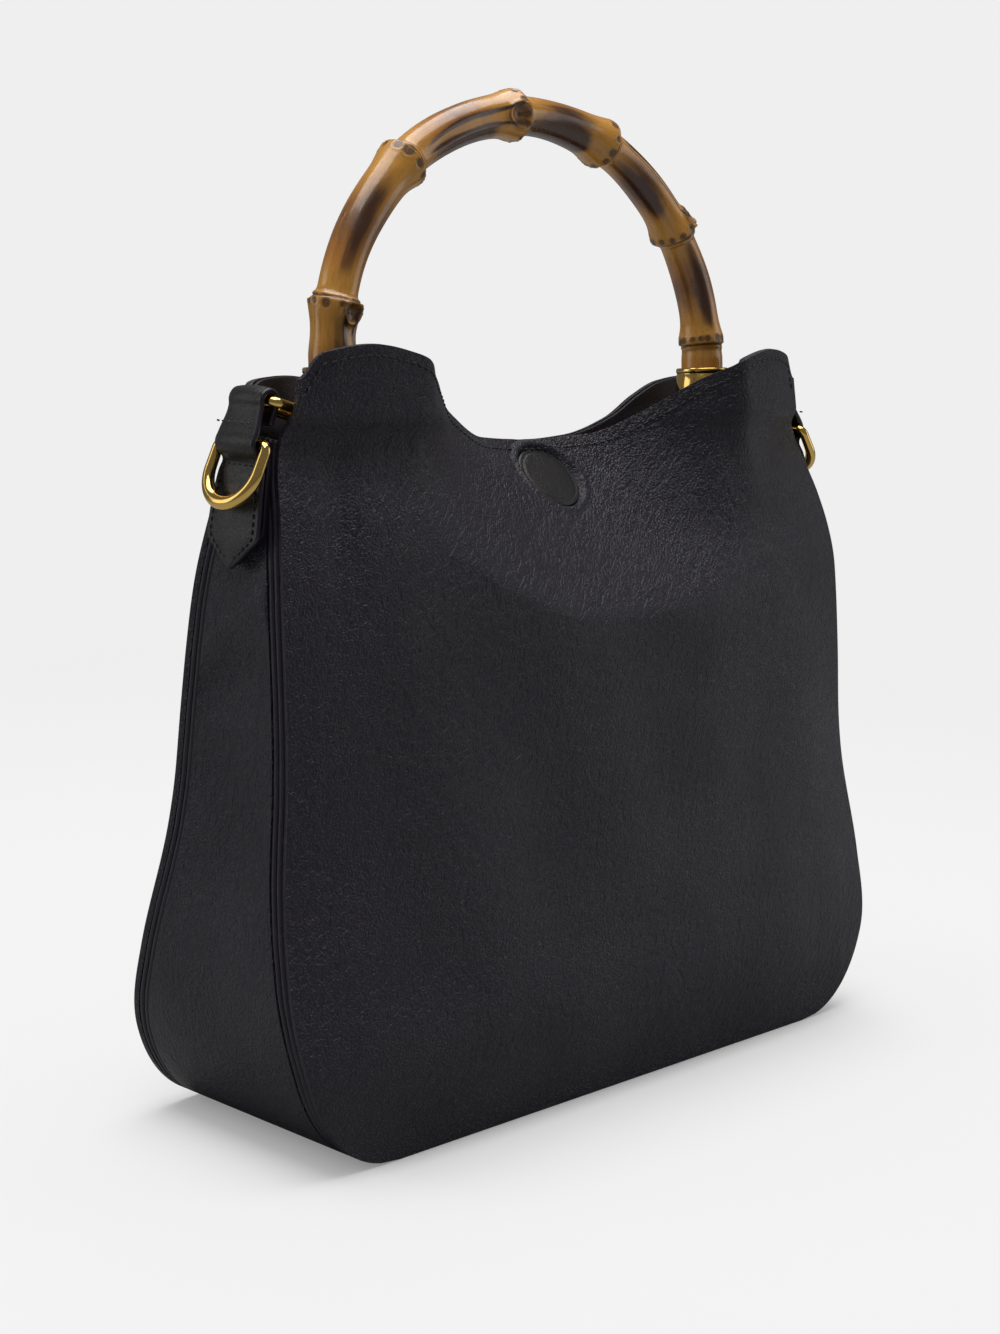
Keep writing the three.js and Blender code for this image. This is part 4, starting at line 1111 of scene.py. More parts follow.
def add_ring(name, corners, radii, wire, pivot, turn, sign, replaced):
    """A cast ring in a plane that is turned about Y, with its width along Y."""
    flat, flat_out = ring_stations(corners, radii)
    run = np.array([math.cos(turn), 0, math.sin(turn)]) * (sign, 1, 1)
    width = np.array([0.0, 1.0, 0.0])
    lift = np.cross(run, width)
    centres = np.array(pivot) + flat[:, :1] * run + flat[:, 1:] * width
    outs = flat_out[:, :1] * run + flat_out[:, 1:] * width
    ups = np.repeat(lift[None, :], len(flat), 0)
    radius = np.array([wire(p) for p in flat])
    brass = bpy.data.materials["gold_brass"]
    piece = sweep_object(name, centres, outs, ups, radius, 28, [brass], closed=True)
    settle(piece, replaced, replaced)


D_HALF_WIDTH, D_DROP = 11 * MM, 19.4 * MM
D_CORNER = 2.4 * MM
D_BAR_RADIUS, D_BOW_SWELL = 1.7 * MM, 0.6 * MM
D_REST_ANGLE = math.radians(23)


def add_d_ring(name, sign):
    """A D-ring hanging from its bar, thicker round its bow."""
    half, drop = D_HALF_WIDTH, D_DROP
    corners = [(0, -half), (drop, -half), (drop, half), (0, half)]
    bow = half - 0.2 * MM

    def thickness(point):
        return D_BAR_RADIUS + D_BOW_SWELL * max(0.0, point[0] / drop) ** 2

    lean = math.atan2(slump(D_HEIGHT) - slump(TAB_SHOULDER), D_HEIGHT - TAB_SHOULDER) if sign > 0 else 0
    hang = lean + D_REST_ANGLE - math.pi / 2
    rounds = [D_CORNER, bow, bow, D_CORNER]
    add_ring(name + "_brass_d_ring", corners, rounds, thickness, D_PIVOTS[name], hang, sign, name + "_d_ring")


LEFT_EYE_PLACE = 100 * MM
HANDLE_HALF_SPAN = LEFT_EYE_PLACE + EYE_AXIS.x
RING_RUN = -RING_PIVOTS["left"].x - LEFT_EYE_PLACE
RING_FALL = math.atan2(TOP_LOOP_HEIGHT - EYE_AXIS.z, RING_RUN)
RING_LENGTH = math.hypot(TOP_LOOP_HEIGHT - EYE_AXIS.z, RING_RUN)
RING_HALF_WIDTH, RING_TAPER = 9.7 * MM, 1.2 * MM
RING_LOOP_CORNER, RING_EYE_CORNER = 1.8 * MM, 3.4 * MM
RING_WIRE = 1.6 * MM


def add_handle_ring(name, sign):
    """The ring from the tab's upper loop to the ferrule's eye."""
    half, narrow = RING_HALF_WIDTH, RING_HALF_WIDTH - RING_TAPER
    corners = [(0, -half), (RING_LENGTH, -narrow), (RING_LENGTH, narrow), (0, half)]
    rounds = [RING_LOOP_CORNER, RING_EYE_CORNER, RING_EYE_CORNER, RING_LOOP_CORNER]

    def thickness(_):
        return RING_WIRE

    run_angle = math.pi + RING_FALL
    title, body = name + "_brass_handle_ring", name + "_handle_ring"
    add_ring(title, corners, rounds, thickness, RING_PIVOTS[name], run_angle, sign, body)


LEAN = math.radians(4.5)
CUP_FLOOR = 7.8 * MM
CUP_WALL = 1.6 * MM
CUP_LENGTH = 10 * MM
FOOT_RADIUS = 7.8 * MM
CUP_INNER = FOOT_RADIUS + GAP
CUP_OUTER = CUP_INNER + CUP_WALL
CUP_ROUNDING = 1.6 * MM
PIN_HEIGHT = CUP_FLOOR + CUP_WALL + CUP_LENGTH / 2
EYE_HOLE, EYE_RADIUS, EYE_HALF_THICKNESS = 4.2 * MM, 6.4 * MM, 1.5 * MM


def leaned(points):
    """Points drawn upright about the eyes' axis, leaned back with the handle."""
    points = np.asarray(points, float)
    y, z = points[..., 1], points[..., 2]
    return np.stack(
        [
            points[..., 0] + EYE_AXIS.x,
            EYE_AXIS.y + y * math.cos(LEAN) + z * math.sin(LEAN),
            EYE_AXIS.z + z * math.cos(LEAN) - y * math.sin(LEAN),
        ],
        -1,
    )


def add_ferrule(name, sign):
    """A turned cup with a flat eye below it, drawn upright and leaned back."""
    brass = bpy.data.materials["gold_brass"]
    x, sides = sign * HANDLE_HALF_SPAN, 72
    top = CUP_FLOOR + CUP_WALL + CUP_LENGTH
    profile = [(0.3 * MM, CUP_FLOOR), (CUP_OUTER - 2.4 * MM, CUP_FLOOR)]
    for angle in np.linspace(0, math.pi / 2, 8):
        out = CUP_OUTER - CUP_ROUNDING + CUP_ROUNDING * math.sin(angle)
        profile.append((out, CUP_FLOOR + CUP_ROUNDING - CUP_ROUNDING * math.cos(angle)))
    groove = CUP_OUTER - 0.3 * MM
    profile += [(CUP_OUTER, top - 2.6 * MM), (groove, top - 2.3 * MM), (groove, top - 1.9 * MM)]
    profile += [(CUP_OUTER, top - 1.6 * MM), (CUP_OUTER, top - 0.4 * MM), (CUP_OUTER - 0.4 * MM, top)]
    profile += [(CUP_INNER + 0.2 * MM, top), (CUP_INNER, top - 0.3 * MM), (CUP_INNER, CUP_FLOOR + CUP_WALL)]
    profile.append((0.3 * MM, CUP_FLOOR + CUP_WALL))
    turn = np.linspace(0, 2 * math.pi, sides, endpoint=False)
    points = [(x + r * math.cos(a), r * math.sin(a), h) for r, h in profile for a in turn]
    faces = capped_tube(len(profile), sides)
    hole, disc, half = EYE_HOLE, EYE_RADIUS, EYE_HALF_THICKNESS
    section = [(hole, -half + 0.4 * MM), (hole + 0.4 * MM, -half)]
    section += [(disc - 0.5 * MM, -half), (disc, -half + 0.5 * MM)]
    section += [(r, -h) for r, h in section[::-1]]
    start = len(points)
    for r, h in section:
        for a in turn:
            reach = r
            if r > hole + 1 * MM and math.sin(a) > 0.2:
                reach = max(r, min(r * 1.25, (CUP_FLOOR + 0.3 * MM) / math.sin(a)))
            points.append((x + reach * math.cos(a), h, reach * math.sin(a)))
    faces += [tuple(f) for f in quads(len(section), sides, wrap_rows=True, wrap_cols=True, start=0) + start]
    piece = new_object(name + "_brass_ferrule", leaned(points), faces, [brass])
    work = bmesh.new()
    work.from_mesh(piece.data)
    bmesh.ops.recalc_face_normals(work, faces=work.faces)
    work.to_mesh(piece.data)
    work.free()
    piece.data.polygons.foreach_set("use_smooth", [True] * len(piece.data.polygons))
    settle(piece, name + "_ferrule", "handle")


def add_pin(name, sign):
    """The pin through the cup and the cane, with domed ends."""
    brass = bpy.data.materials["gold_brass"]
    centre = leaned([(sign * HANDLE_HALF_SPAN, 0, PIN_HEIGHT)])[0]
    axis = leaned([(0, 1, 0)])[0] - leaned([(0, 0, 0)])[0]
    half = CUP_OUTER + 0.3 * MM
    profile = [(0.1 * MM, -half - 0.35 * MM), (0.7 * MM, -half - 0.2 * MM), (1.0 * MM, -half + 0.15 * MM)]
    profile += [(r, -h) for r, h in profile[::-1]]
    piece = lathe_object(name + "_brass_pin", profile, centre, axis, 32, [brass])
    settle(piece, name + "_ferrule_pin", "handle")


# ---- Bamboo -------------------------------------------------------------------------------------

HANDLE_RISE = 82 * MM
SPRING = 250 * MM - EYE_AXIS.z
BAMBOO_FOOT = CUP_FLOOR + CUP_WALL + GAP
CANE_NODES = (12.0, 50.0, 85.0, 113.5, 146.0, 176.0)
CANE_SIDES = 96
CANE_STATIONS = 780
DEGREE = 1.62 * MM

# The buds' scars: node, direction round the cane, radius, and the half-width of the furrow before it.
BUD_SCARS = ((0, 96.0, 2.9 * MM, 2.6 * MM), (2, 92.0, 3.2 * MM, 3.2 * MM), (4, 50.0, 3.1 * MM, 3.0 * MM))
# Broad scorched or worn stripes: from and to round the arch, direction, half-width, strength.
SCORCHES = (
    (14.0, 48.0, 58.0, 3.4 * MM, 0.55),
    (82.0, 109.0, 150.0, 7.0 * MM, 1.0),
    (52.0, 79.0, 140.0, 5.0 * MM, 0.7),
    (112.0, 140.0, 140.0, 4.0 * MM, 0.6),
    (143.0, 174.0, 112.0, 2.4 * MM, 0.75),
    (-14.0, 11.0, 70.0, 2.6 * MM, 0.45),
)
LARGER_DOTS = {1: 66.0}


def cane_centreline():
    """Centres, outward directions, distance and angle round the arch for even stations."""
    leg = np.linspace(BAMBOO_FOOT, SPRING, 60)[:-1]
    turn = np.linspace(0, math.pi, 900)
    straight = np.full(len(leg), HANDLE_HALF_SPAN)
    x = np.concatenate([-straight, -HANDLE_HALF_SPAN * np.cos(turn), straight])
    z = np.concatenate([leg, SPRING + HANDLE_RISE * np.sin(turn), leg[::-1]])
    below = (leg - SPRING) / DEGREE
    angle = np.concatenate([below, np.degrees(turn), 180 - below[::-1]])
    run = np.concatenate([[0], np.cumsum(np.hypot(np.diff(x), np.diff(z)))])
    even = np.linspace(0, run[-1], CANE_STATIONS)
    x, z, angle = (np.interp(even, run, a) for a in (x, z, angle))
    along = np.stack([np.gradient(x), np.gradient(z)], -1)
    along /= np.linalg.norm(along, axis=1, keepdims=True)
    return x, z, np.stack([-along[:, 1], along[:, 0]], -1), even, angle


def turned_from(phi, direction):
    """The angle from a direction round the cane, between -pi and pi."""
    return (phi - direction + math.pi) % (2 * math.pi) - math.pi


def cane_marks(angle, run, phi, look):
    """Radius, and masks for honey, burn and scars, over the grid of the cane."""
    nodes = np.array(CANE_NODES)
    radius = np.full(np.broadcast(angle, phi).shape, look.radius)
    honey, burn, scar = (np.zeros_like(radius) for _ in range(3))
    random = np.random.default_rng(12)
    edges = np.concatenate([[nodes[0] - 36], nodes, [nodes[-1] + 30]])
    middle_share = np.clip(np.interp(angle, edges, np.arange(len(edges))), 0, len(edges) - 1)
    share_in = middle_share - np.floor(middle_share)
    radius = radius * (0.95 + 0.14 * share_in**2.6)
    wobble = 0.28 * MM * waves(run, phi * 5 * MM, 41, 38 * MM, 0.2, 0.8)
    radius = radius + wobble
    honey += 1.0 * bell(share_in, 1.0, 0.34) + 0.8 * bell(share_in, 0.0, 0.2) + 0.2
    burn += 0.6 * bell(share_in, 0.46, 0.26)
    for index, place in enumerate(nodes):
        away = angle - place
        wave_line = 0.35 * np.sin(phi + index) + 0.2 * np.sin(2 * phi + 2 * index)
        line = away + wave_line
        flare = np.where(line < 0, np.exp(-((line / 4.0) ** 2)), np.exp(-((line / 1.3) ** 2)))
        radius = radius + look.swell * 0.58 * flare
        radius = radius - 0.55 * MM * bell(line, 0.35, 0.3) + 0.35 * MM * bell(line, 0.95, 0.4)
        scar = np.maximum(scar, 1.0 * bell(line, 0.35, 0.3))
        scar = np.maximum(scar, 0.35 * bell(line, 1.7, 0.3))
        count = 12 if index < 5 else 16
        for k in range(count):
            centre_phi = 2 * math.pi * (k + random.uniform(-0.18, 0.18)) / count + 0.5 * index
            centre_line = -1.0 + random.uniform(-0.2, 0.12)
            size = random.uniform(1.2, 1.85) * MM
            if index in LARGER_DOTS and abs(math.degrees(centre_phi) - LARGER_DOTS[index]) < 22:
                size = 2.3 * MM
            turned = turned_from(phi, centre_phi)
            far = np.hypot((line - centre_line) * DEGREE, turned * (look.radius + look.swell))
            dot = np.exp(-((far / size) ** 6))
            ring = bell(far, size * 1.25, 0.26 * MM)
            core = bell(far, size * 0.35, size * 0.22)
            scar = np.maximum(scar, dot - 0.3 * core)
            scar = np.maximum(scar, 0.35 * ring * random.uniform(0.2, 1))
            radius = radius - 0.22 * MM * dot + 0.16 * MM * ring
    for index, direction, size, furrow in BUD_SCARS:
        place = nodes[index]
        start = nodes[index - 1] if index else -16.0
        turned = turned_from(phi, math.radians(direction))
        sideways = turned * (look.radius + 1 * MM)
        far = np.hypot((angle - place + 2.4) * DEGREE * 0.85, sideways)
        radius = radius + 0.9 * MM * bell(far, size * 1.2, 0.9 * MM) - 0.8 * MM * bell(far, 0, size * 0.7)
        rings = 0.5 + 0.5 * np.cos(far / (0.42 * MM))
        scar = np.maximum(scar, (0.6 + 0.4 * rings) * np.exp(-((far / (size * 0.95)) ** 6)))
        scar = np.maximum(scar, 0.8 * bell(far, size * 1.35, 0.28 * MM))
        along_share = np.clip((angle - start) / (place - start), 0, 1)
        presence = step(along_share, 0.02, 0.25) * (1 - step(along_share, 0.93, 1.0))
        presence = presence * (angle > start) * (angle < place)
        width = furrow * (0.55 + 0.45 * along_share)
        trough = np.exp(-((sideways / width) ** 4))
        radius = radius - 0.75 * MM * trough * presence
        honey = np.maximum(honey, 1.0 * np.exp(-((sideways / (width * 0.8)) ** 4)) * presence)
        burn = burn * (1 - 0.85 * trough * presence)
        for edge in (-1, 1):
            drift = 0.25 * MM * np.sin(run / (6 * MM) + edge)
            burn = burn + 1.15 * bell(sideways, edge * width + drift, 0.75 * MM) * presence
    for low, high, direction, width, strength in SCORCHES:
        turned = turned_from(phi, math.radians(direction))
        inside = step(angle, low, low + 6) * (1 - step(angle, high - 5, high))
        burn = burn + strength * inside * bell(turned * look.radius, 0, width)
    return radius, np.clip(honey, 0, 1), np.clip(burn, 0, 1.3), np.clip(scar, 0, 1)


def add_bamboo(look):
    x, z, out, run, angle = cane_centreline()
    phi = np.linspace(0, 2 * math.pi, CANE_SIDES, endpoint=False)
    radius, honey, burn, scar = cane_marks(angle[:, None], run[:, None], phi[None, :], look)
    foot = np.exp(-((np.minimum(angle, 180 - angle) / 4.0) ** 2))
    foot = np.where(np.minimum(angle, 180 - angle) < 0, 1.0, foot)[:, None]
    radius = radius * (1 - foot) + (FOOT_RADIUS - 0.1 * MM) * foot
    centres = np.stack([x, np.zeros_like(x), z], -1)
    outs = np.stack([out[:, 0], np.zeros_like(x), out[:, 1]], -1)
    ups = np.repeat([[0.0, -1.0, 0.0]], len(x), 0)
    skin = [bamboo_material(look)]
    piece = sweep_object("bamboo_cane", centres, outs, ups, radius, CANE_SIDES, skin, closed=False)
    place = np.empty(len(piece.data.vertices) * 3)
    piece.data.vertices.foreach_get("co", place)
    piece.data.vertices.foreach_set("co", leaned(place.reshape(-1, 3)).ravel())
    cane = np.stack(
        [
            np.repeat(run[:, None], CANE_SIDES, 1),
            look.radius * np.cos(phi)[None, :].repeat(len(x), 0),
            look.radius * np.sin(phi)[None, :].repeat(len(x), 0),
        ],
        -1,
    )
    piece.data.attributes.new("cane", "FLOAT_VECTOR", "POINT").data.foreach_set("vector", cane.ravel())
    for label, values in (("honey", honey), ("burn", burn), ("scar", scar)):
        piece.data.attributes.new(label, "FLOAT", "POINT").data.foreach_set("value", values.ravel())
    piece.data.update()
    settle(piece, "bamboo_handle", "handle")


# ---- Stitches -----------------------------------------------------------------------------------


def stitch_tree():
    """Stitches along a line of edges: one rounded stitch to each pitch, laid along the line."""
    if "stitch_row" in bpy.data.node_groups:
        return bpy.data.node_groups["stitch_row"]
    tree = bpy.data.node_groups.new("stitch_row", "GeometryNodeTree")
    tree.interface.new_socket("Geometry", in_out="INPUT", socket_type="NodeSocketGeometry")
    for label, value in (("Pitch", 3 * MM), ("Thread Radius", 0.3 * MM), ("Stitch Share", 0.72)):
        socket = tree.interface.new_socket(label, in_out="INPUT", socket_type="NodeSocketFloat")
        socket.default_value = value
    tree.interface.new_socket("Material", in_out="INPUT", socket_type="NodeSocketMaterial")
    tree.interface.new_socket("Geometry", in_out="OUTPUT", socket_type="NodeSocketGeometry")
    given = tree.nodes.new("NodeGroupInput").outputs
    curve = node(tree, "GeometryNodeMeshToCurve", {"Mesh": given["Geometry"]}).outputs[0]
    even = node(tree, "GeometryNodeResampleCurve", {"Curve": curve, "Length": given["Pitch"]}, mode="LENGTH")
    tangent = tree.nodes.new("GeometryNodeInputTangent").outputs[0]
    slant = node(tree, "FunctionNodeRandomValue", data_type="FLOAT_VECTOR")
    slant.inputs[0].default_value = (-0.06, -0.06, -0.06)
    slant.inputs[1].default_value = (0.06, 0.06, 0.06)
    slant.inputs["Seed"].default_value = 4
    aim = node(tree, "ShaderNodeVectorMath", {0: tangent, 1: slant.outputs[0]}, operation="ADD").outputs[0]
    turn = node(tree, "FunctionNodeAlignRotationToVector", {"Vector": aim}, axis="X").outputs[0]
    half = node(tree, "ShaderNodeMath", {0: given["Pitch"], 1: given["Stitch Share"]}, operation="MULTIPLY")
    half = node(tree, "ShaderNodeMath", {0: half.outputs[0], 1: 0.5}, operation="MULTIPLY").outputs[0]
    size = node(
        tree, "ShaderNodeCombineXYZ", {0: half, 1: given["Thread Radius"], 2: given["Thread Radius"]}
    ).outputs[0]
    ball = node(tree, "GeometryNodeMeshUVSphere", {"Segments": 7, "Rings": 6, "Radius": 1.0}).outputs["Mesh"]
    turned = {"Geometry": ball, "Rotation": (0, math.pi / 2, 0)}
    lying = node(tree, "GeometryNodeTransform", turned).outputs[0]
    rows = node(
        tree,
        "GeometryNodeInstanceOnPoints",
        {"Points": even.outputs[0], "Instance": lying, "Rotation": turn, "Scale": size},
    ).outputs[0]
    solid = node(tree, "GeometryNodeRealizeInstances", {"Geometry": rows}).outputs[0]
    smooth = node(tree, "GeometryNodeSetShadeSmooth", {"Geometry": solid}).outputs[0]
    painted = node(tree, "GeometryNodeSetMaterial", {"Geometry": smooth, "Material": given["Material"]})
    tree.links.new(painted.outputs[0], tree.nodes.new("NodeGroupOutput").inputs[0])
    return tree


def add_stitches(name, lines, pitch, look):
    """A piece with stitches along each line of points."""
    points, edges = [], []
    for line in lines:
        start = len(points)
        points += [tuple(p) for p in line]
        edges += [(start + i, start + i + 1) for i in range(len(line) - 1)]
    mesh = bpy.data.meshes.new(name + "_path")
    mesh.from_pydata(points, edges, [])
    path = bpy.data.objects.new(name + "_path", mesh)
    bpy.context.scene.collection.objects.link(path)
    tree = stitch_tree()
    rows = path.modifiers.new("stitch_row", "NODES")
    rows.node_group = tree
    values = {
        "Pitch": pitch,
        "Thread Radius": look.thread,
        "Material": thread_material(look.thread_colour),
    }
    for item in tree.interface.items_tree:
        if item.in_out == "INPUT" and item.name in values:
            rows[item.identifier] = values[item.name]
    evaluated = path.evaluated_get(bpy.context.evaluated_depsgraph_get())
    result = bpy.data.meshes.new_from_object(evaluated)
    piece = bpy.data.objects.new(name, result)
    bpy.context.scene.collection.objects.link(piece)
    bpy.data.objects.remove(path)
    settle(piece, None, BAG)


THREAD_LIFT = 0.05 * MM


def panel_stitch_line(panel, leather_look, inset):
    """The line of the stitching under a panel's upper edge."""
    across = np.linspace(-0.975, 0.975, 500)
    top = panel.edge(from_dip(across))
    slope = np.gradient(top, across * TOP_HALF_WIDTH)
    z = top - inset * np.sqrt(1 + slope**2)
    return panel.point(across, z, leather_look) + 0.12 * MM * panel.normal(across, z, leather_look)


def tab_surface(sign, height, share_of):
    """A point on the strap below its D-ring."""
    width = float(tab_half_width(height))
    x = float(side_line(sign, height)) + TAB_OFFSET + STRAP
    x += tab_crown(width) * (1 - share_of**2) + THREAD_LIFT
    return (sign * x, share_of * width, height)


def tab_stitch_lines(name, sign):
    """Round the strap's border, and across it above and below the upper loop."""
    heights = np.linspace(TAB_TIP + 3.6 * MM, D_HEIGHT - 7.5 * MM, 60)
    lines = []
    edge = [(h, 1 - TAB_STITCH_INSET / float(tab_half_width(h))) for h in heights]
    edge = [(h, s) for h, s in edge if s > 0.02]
    left = [tab_surface(sign, h, -s) for h, s in edge]
    right = [tab_surface(sign, h, s) for h, s in edge]
    lines.append(left[::-1] + right)
    path = tab_path(name, sign)
    for height in (D_HEIGHT - 6.4 * MM, (D_HEIGHT + TOP_LOOP_HEIGHT) / 2 + 0.1 * MM):
        near = path[np.argmin(np.abs(path[:90, 1] - height))]
        width = float(tab_half_width(height)) - 1.6 * MM
        row = []
        for y in np.linspace(-width, width, 12):
            lift = 0.5 * MM * (1 - (y / width) ** 2) + THREAD_LIFT
            row.append((sign * (near[0] + lift), y, height))
        lines.append(row)
    return lines


# ---- Stage --------------------------------------------------------------------------------------


FLOOR_SIDES, FLOOR_DROP = 64, 0.2 * MM


def add_floor(look):
    """A wide pale floor that fades into the backdrop's own brightness."""
    work = bmesh.new()
    rings = [0.0001, 0.4, 0.9, 1.6, 3.0, look.reach]
    turn = np.linspace(0, 2 * math.pi, FLOOR_SIDES, endpoint=False)
    rows = [[work.verts.new((r * math.cos(a), r * math.sin(a), -FLOOR_DROP)) for a in turn] for r in rings]
    for inner, outer in zip(rows, rows[1:]):
        for k in range(FLOOR_SIDES):
            after = (k + 1) % FLOOR_SIDES
            work.faces.new((inner[k], outer[k], outer[after], inner[after]))
    work.faces.new(rows[0])
    mesh = bpy.data.meshes.new("studio_floor")
    work.to_mesh(mesh)
    work.free()
    floor = bpy.data.objects.new("studio_floor", mesh)
    bpy.context.scene.collection.objects.link(floor)
    level = look.backdrop
    material, tree, shader = new_material("pale_floor", (0.9, 0.9, 0.9), 0.7, specular=0.2)
    place = object_place(tree)
    distance = length_of(tree, place)
    far = remap(tree, distance, 0.45, 1.1)
    spread = vectors(tree, "ABSOLUTE", place)
    spread = vectors(tree, "SUBTRACT", spread, (0.1, 0.035, 0.0))
    spread = vectors(tree, "MAXIMUM", spread, (0.0, 0.0, 0.0))
    beside = length_of(tree, spread)
    near = remap(tree, beside, 0.0, 0.08, 0.05, 0.85)
    fade = maths(tree, "MULTIPLY_ADD", maths(tree, "SUBTRACT", 1.0, near), far, near)
    strength = remap(tree, distance, 0.3, 0.9, 1.03, 1.0)
    light = {"Color": (level, level, level, 1.0), "Strength": strength}
    glow = node(tree, "ShaderNodeEmission", light).outputs[0]
    shader.inputs["Emission Color"].default_value = (1.0, 1.0, 1.0, 1.0)
    shader.inputs["Emission Strength"].default_value = 0.1
    pale = node(tree, "ShaderNodeMixShader", {0: fade, 1: shader.outputs[0], 2: glow}).outputs[0]
    dim = node(tree, "ShaderNodeBsdfDiffuse", {"Color": (0.42, 0.42, 0.42, 1.0)}).outputs[0]
    seen = node(tree, "ShaderNodeLightPath").outputs["Is Camera Ray"]
    mix = node(tree, "ShaderNodeMixShader", {0: seen, 1: dim, 2: pale}).outputs[0]
    tree.links.new(mix, tree.nodes["Material Output"].inputs["Surface"])
    mesh.materials.append(material)


def add_light(name, place, aim, size, power):
    lamp = bpy.data.lights.new(name, "AREA")
    lamp.shape = "RECTANGLE"
    lamp.size, lamp.size_y = size
    lamp.energy = power
    holder = bpy.data.objects.new(name, lamp)
    holder.location = place
    holder.rotation_euler = (Vector(aim) - Vector(place)).to_track_quat("-Z", "Y").to_euler()
    bpy.context.scene.collection.objects.link(holder)


def add_world(look):
    """A pale backdrop round a dimmer room."""
    scene = bpy.context.scene
    scene.world = scene.world or bpy.data.worlds.new("studio")
    scene.world.use_nodes = True
    tree = scene.world.node_tree
    background = tree.nodes["Background"]
    seen = node(tree, "ShaderNodeLightPath").outputs["Is Camera Ray"]
    level = maths(tree, "MULTIPLY_ADD", seen, look.backdrop - look.room, look.room)
    tree.links.new(level, background.inputs["Color"])
    background.inputs["Strength"].default_value = 1.0


CAMERA_PLACE = (-0.5937, -0.5321, 0.2725)
CAMERA_BACK = Vector((-0.7216, -0.6729, 0.1625))
CAMERA_SIDE = Vector((0.682, -0.7314, 0.0))
CAMERA_ROLL = math.radians(2.187)
CAMERA_FOCAL = 61.59


def add_camera():
    """A long lens from the front left, a little above the bag's middle."""
    lens = bpy.data.cameras.new("camera")
    lens.sensor_fit = "AUTO"
    lens.sensor_width = 36
    lens.lens = CAMERA_FOCAL
    lens.clip_end = 50
    holder = bpy.data.objects.new("camera", lens)
    back, side = CAMERA_BACK.normalized(), CAMERA_SIDE.normalized()
    up = back.cross(side).normalized()
    right = side * math.cos(CAMERA_ROLL) + up * math.sin(CAMERA_ROLL)
    top = up * math.cos(CAMERA_ROLL) - side * math.sin(CAMERA_ROLL)
    turn = Matrix((right, top, back)).transposed().to_4x4()
    holder.matrix_world = Matrix.Translation(CAMERA_PLACE) @ turn
    bpy.context.scene.collection.objects.link(holder)
    bpy.context.scene.camera = holder


# ---- Operators ----------------------------------------------------------------------------------


class BagOperator:
    bl_options = {"REGISTER", "UNDO"}


class BAG_OT_stage(BagOperator, bpy.types.Operator):
    """Adds the floor, the lights and the camera"""

    bl_idname = "bag.stage"
    bl_label = "Stage"

    def execute(self, context):
        look = context.scene.bag_stage
        add_floor(look)
        add_light("overhead_soft", (0.0, 0.1, 1.6), (0, 0, 0.1), (1.7, 1.3), look.key)
        fill = look.key * look.fill
        add_light("right_soft", (1.5, -0.9, 0.55), (0, 0, 0.12), (0.9, 1.2), fill)
        add_light("back_left_soft", (-1.25, 1.05, 0.6), (0, 0, 0.15), (0.8, 1.0), fill)
        add_world(look)
        context.scene.view_settings.view_transform = "Standard"
        add_camera()
        return {"FINISHED"}


class BAG_OT_leather_body(BagOperator, bpy.types.Operator):
    """Makes the front, the back and the band between them"""

    bl_idname = "bag.leather_body"
    bl_label = "Leather Body"

    def execute(self, context):
        look = context.scene.bag_leather
        add_panel("front", FRONT, look, covered=True)
        add_panel("back", BACK, look, covered=False)
        add_gusset(look)
        return {"FINISHED"}


class BAG_OT_piping(BagOperator, bpy.types.Operator):
    """Runs a piping and a welt along each seam"""

    bl_idname = "bag.piping"
    bl_label = "Piping"

    def execute(self, context):
        look = context.scene.bag_leather
        first = look.thickness + GAP + look.piping
        for name, side in (("front", -1), ("back", 1)):
            add_cord(name + "_leather_piping", name + "_piping", side, first, look.piping * 1.08, look)
            add_cord(name + "_leather_welt", name + "_welt", side, first + PIPE, look.piping * 1.08, look)
        return {"FINISHED"}


class BAG_OT_mouth(BagOperator, bpy.types.Operator):
    """Makes the facings, the linings, and the disc over the front magnet"""

    bl_idname = "bag.mouth"
    bl_label = "Mouth and Lining"

    def execute(self, context):
        look = context.scene.bag_leather
        add_inner_layers("front", FRONT, look)
        add_inner_layers("back", BACK, look)
        add_band_lining(look)
        add_magnet_cover(look)
        for name in ("front_magnet", "back_magnet"):
            dress(name, steel_material())
        dress("base_board", board_material())
        return {"FINISHED"}


def dress(name, material):
    """Gives a CAD node that stays in view its own material."""
    mesh = frame["nodes"][name].data
    mesh.materials.clear()
    mesh.materials.append(material)


class BAG_OT_tabs(BagOperator, bpy.types.Operator):
    """Makes the two side tabs and their backings"""

    bl_idname = "bag.tabs"
    bl_label = "Side Tabs"

    def execute(self, context):
        look = context.scene.bag_leather
        for name, sign in SIDES:
            add_tab(name, sign, look)
            add_backing(name, sign, look)
        return {"FINISHED"}


class BAG_OT_brass(BagOperator, bpy.types.Operator):
    """Makes the D-rings, the handle rings, and the ferrules with their pins"""

    bl_idname = "bag.brass"
    bl_label = "Brass"

    def execute(self, context):
        brass_material(context.scene.bag_brass)
        for name, sign in SIDES:
            add_d_ring(name, sign)
            add_handle_ring(name, sign)
            add_ferrule(name, sign)
            add_pin(name, sign)
        return {"FINISHED"}


class BAG_OT_bamboo(BagOperator, bpy.types.Operator):
    """Makes the bent bamboo handle"""

    bl_idname = "bag.bamboo"
    bl_label = "Bamboo Handle"

    def execute(self, context):
        add_bamboo(context.scene.bag_bamboo)
        return {"FINISHED"}


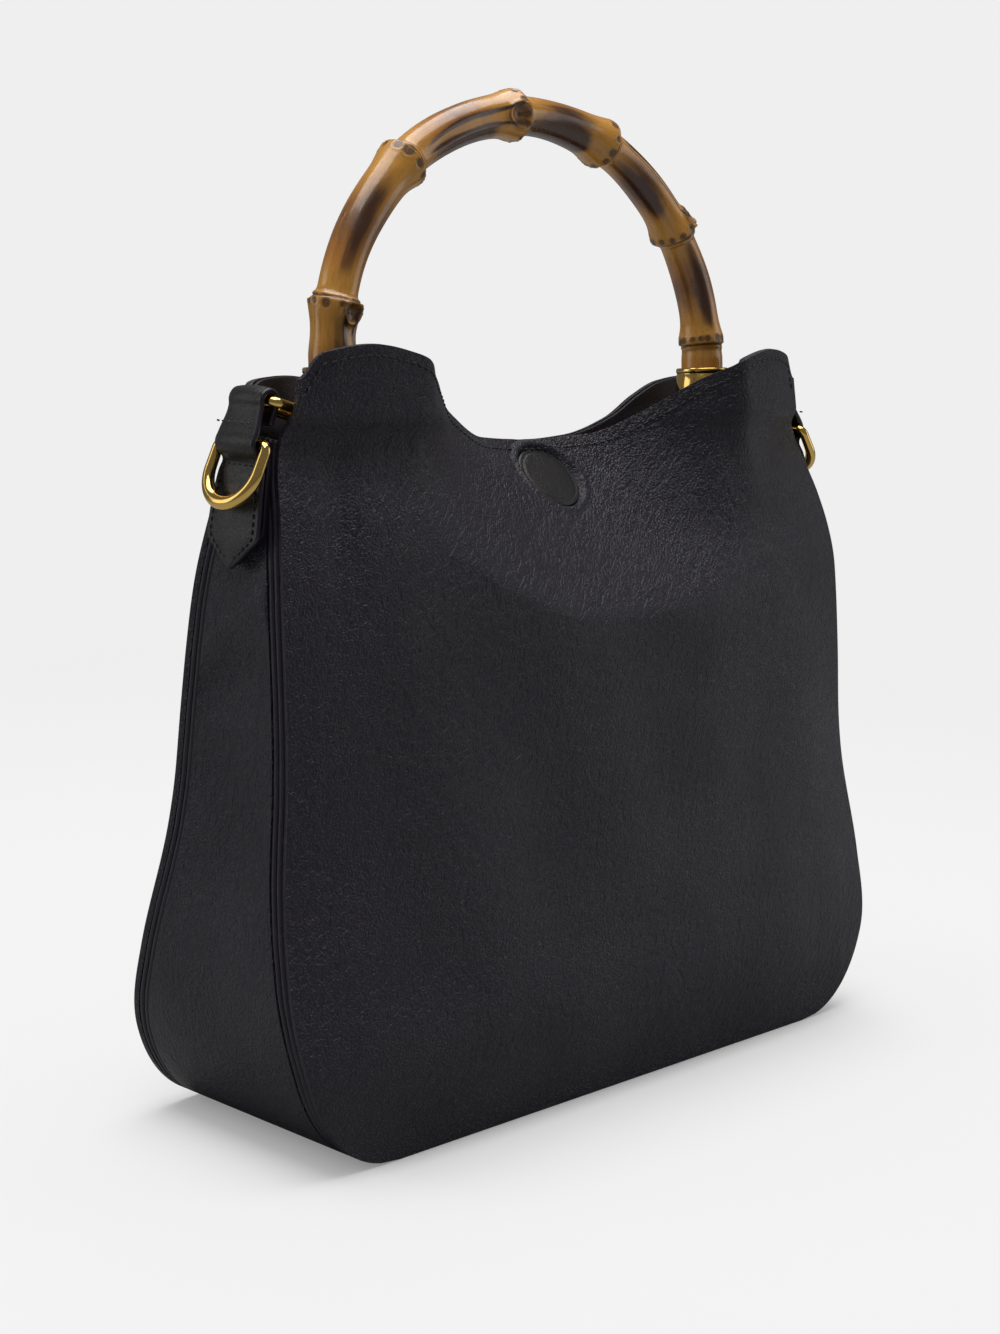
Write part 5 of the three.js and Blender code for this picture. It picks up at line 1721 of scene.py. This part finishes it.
class BAG_OT_stitches(BagOperator, bpy.types.Operator):
    """Sews along the upper edges and round the tabs"""

    bl_idname = "bag.stitches"
    bl_label = "Stitches"

    def execute(self, context):
        look, hide_look = context.scene.bag_stitches, context.scene.bag_leather
        for name, panel in (("front", FRONT), ("back", BACK)):
            line = panel_stitch_line(panel, hide_look, look.inset)
            add_stitches(name + "_edge_stitches", [line], look.pitch, look)
        for name, sign in SIDES:
            lines = tab_stitch_lines(name, sign)
            add_stitches(name + "_tab_stitches", lines, TAB_PITCH, look)
        return {"FINISHED"}


OPERATORS = (
    BAG_OT_stage,
    BAG_OT_leather_body,
    BAG_OT_piping,
    BAG_OT_mouth,
    BAG_OT_tabs,
    BAG_OT_brass,
    BAG_OT_bamboo,
    BAG_OT_stitches,
)
SETTINGS = (
    ("bag_leather", BagLeatherSettings),
    ("bag_stitches", BagStitchSettings),
    ("bag_bamboo", BagBambooSettings),
    ("bag_brass", BagBrassSettings),
    ("bag_stage", BagStageSettings),
)


class BAG_PT_panel(bpy.types.Panel):
    """Sizes, colours and pieces of the bag"""

    bl_label = "Bamboo Handle Bag"
    bl_idname = "BAG_PT_panel"
    bl_space_type = "VIEW_3D"
    bl_region_type = "UI"
    bl_category = "Bag"

    def draw(self, context):
        for label, group in SETTINGS:
            box = self.layout.box()
            box.label(text=label.replace("_", " ").title())
            for key in group.__annotations__:
                box.prop(getattr(context.scene, label), key)
        for operator in OPERATORS:
            self.layout.operator(operator.bl_idname)


def register():
    for label, group in SETTINGS:
        bpy.utils.register_class(group)
        setattr(bpy.types.Scene, label, PointerProperty(type=group))
    for item in (*OPERATORS, BAG_PT_panel):
        bpy.utils.register_class(item)


def unregister():
    for item in reversed((*OPERATORS, BAG_PT_panel)):
        bpy.utils.unregister_class(item)
    for label, group in reversed(SETTINGS):
        delattr(bpy.types.Scene, label)
        bpy.utils.unregister_class(group)


def main():
    register()
    for operator in OPERATORS:
        section, call = operator.bl_idname.split(".")
        getattr(getattr(bpy.ops, section), call)()


if __name__ == "__main__":
    main()
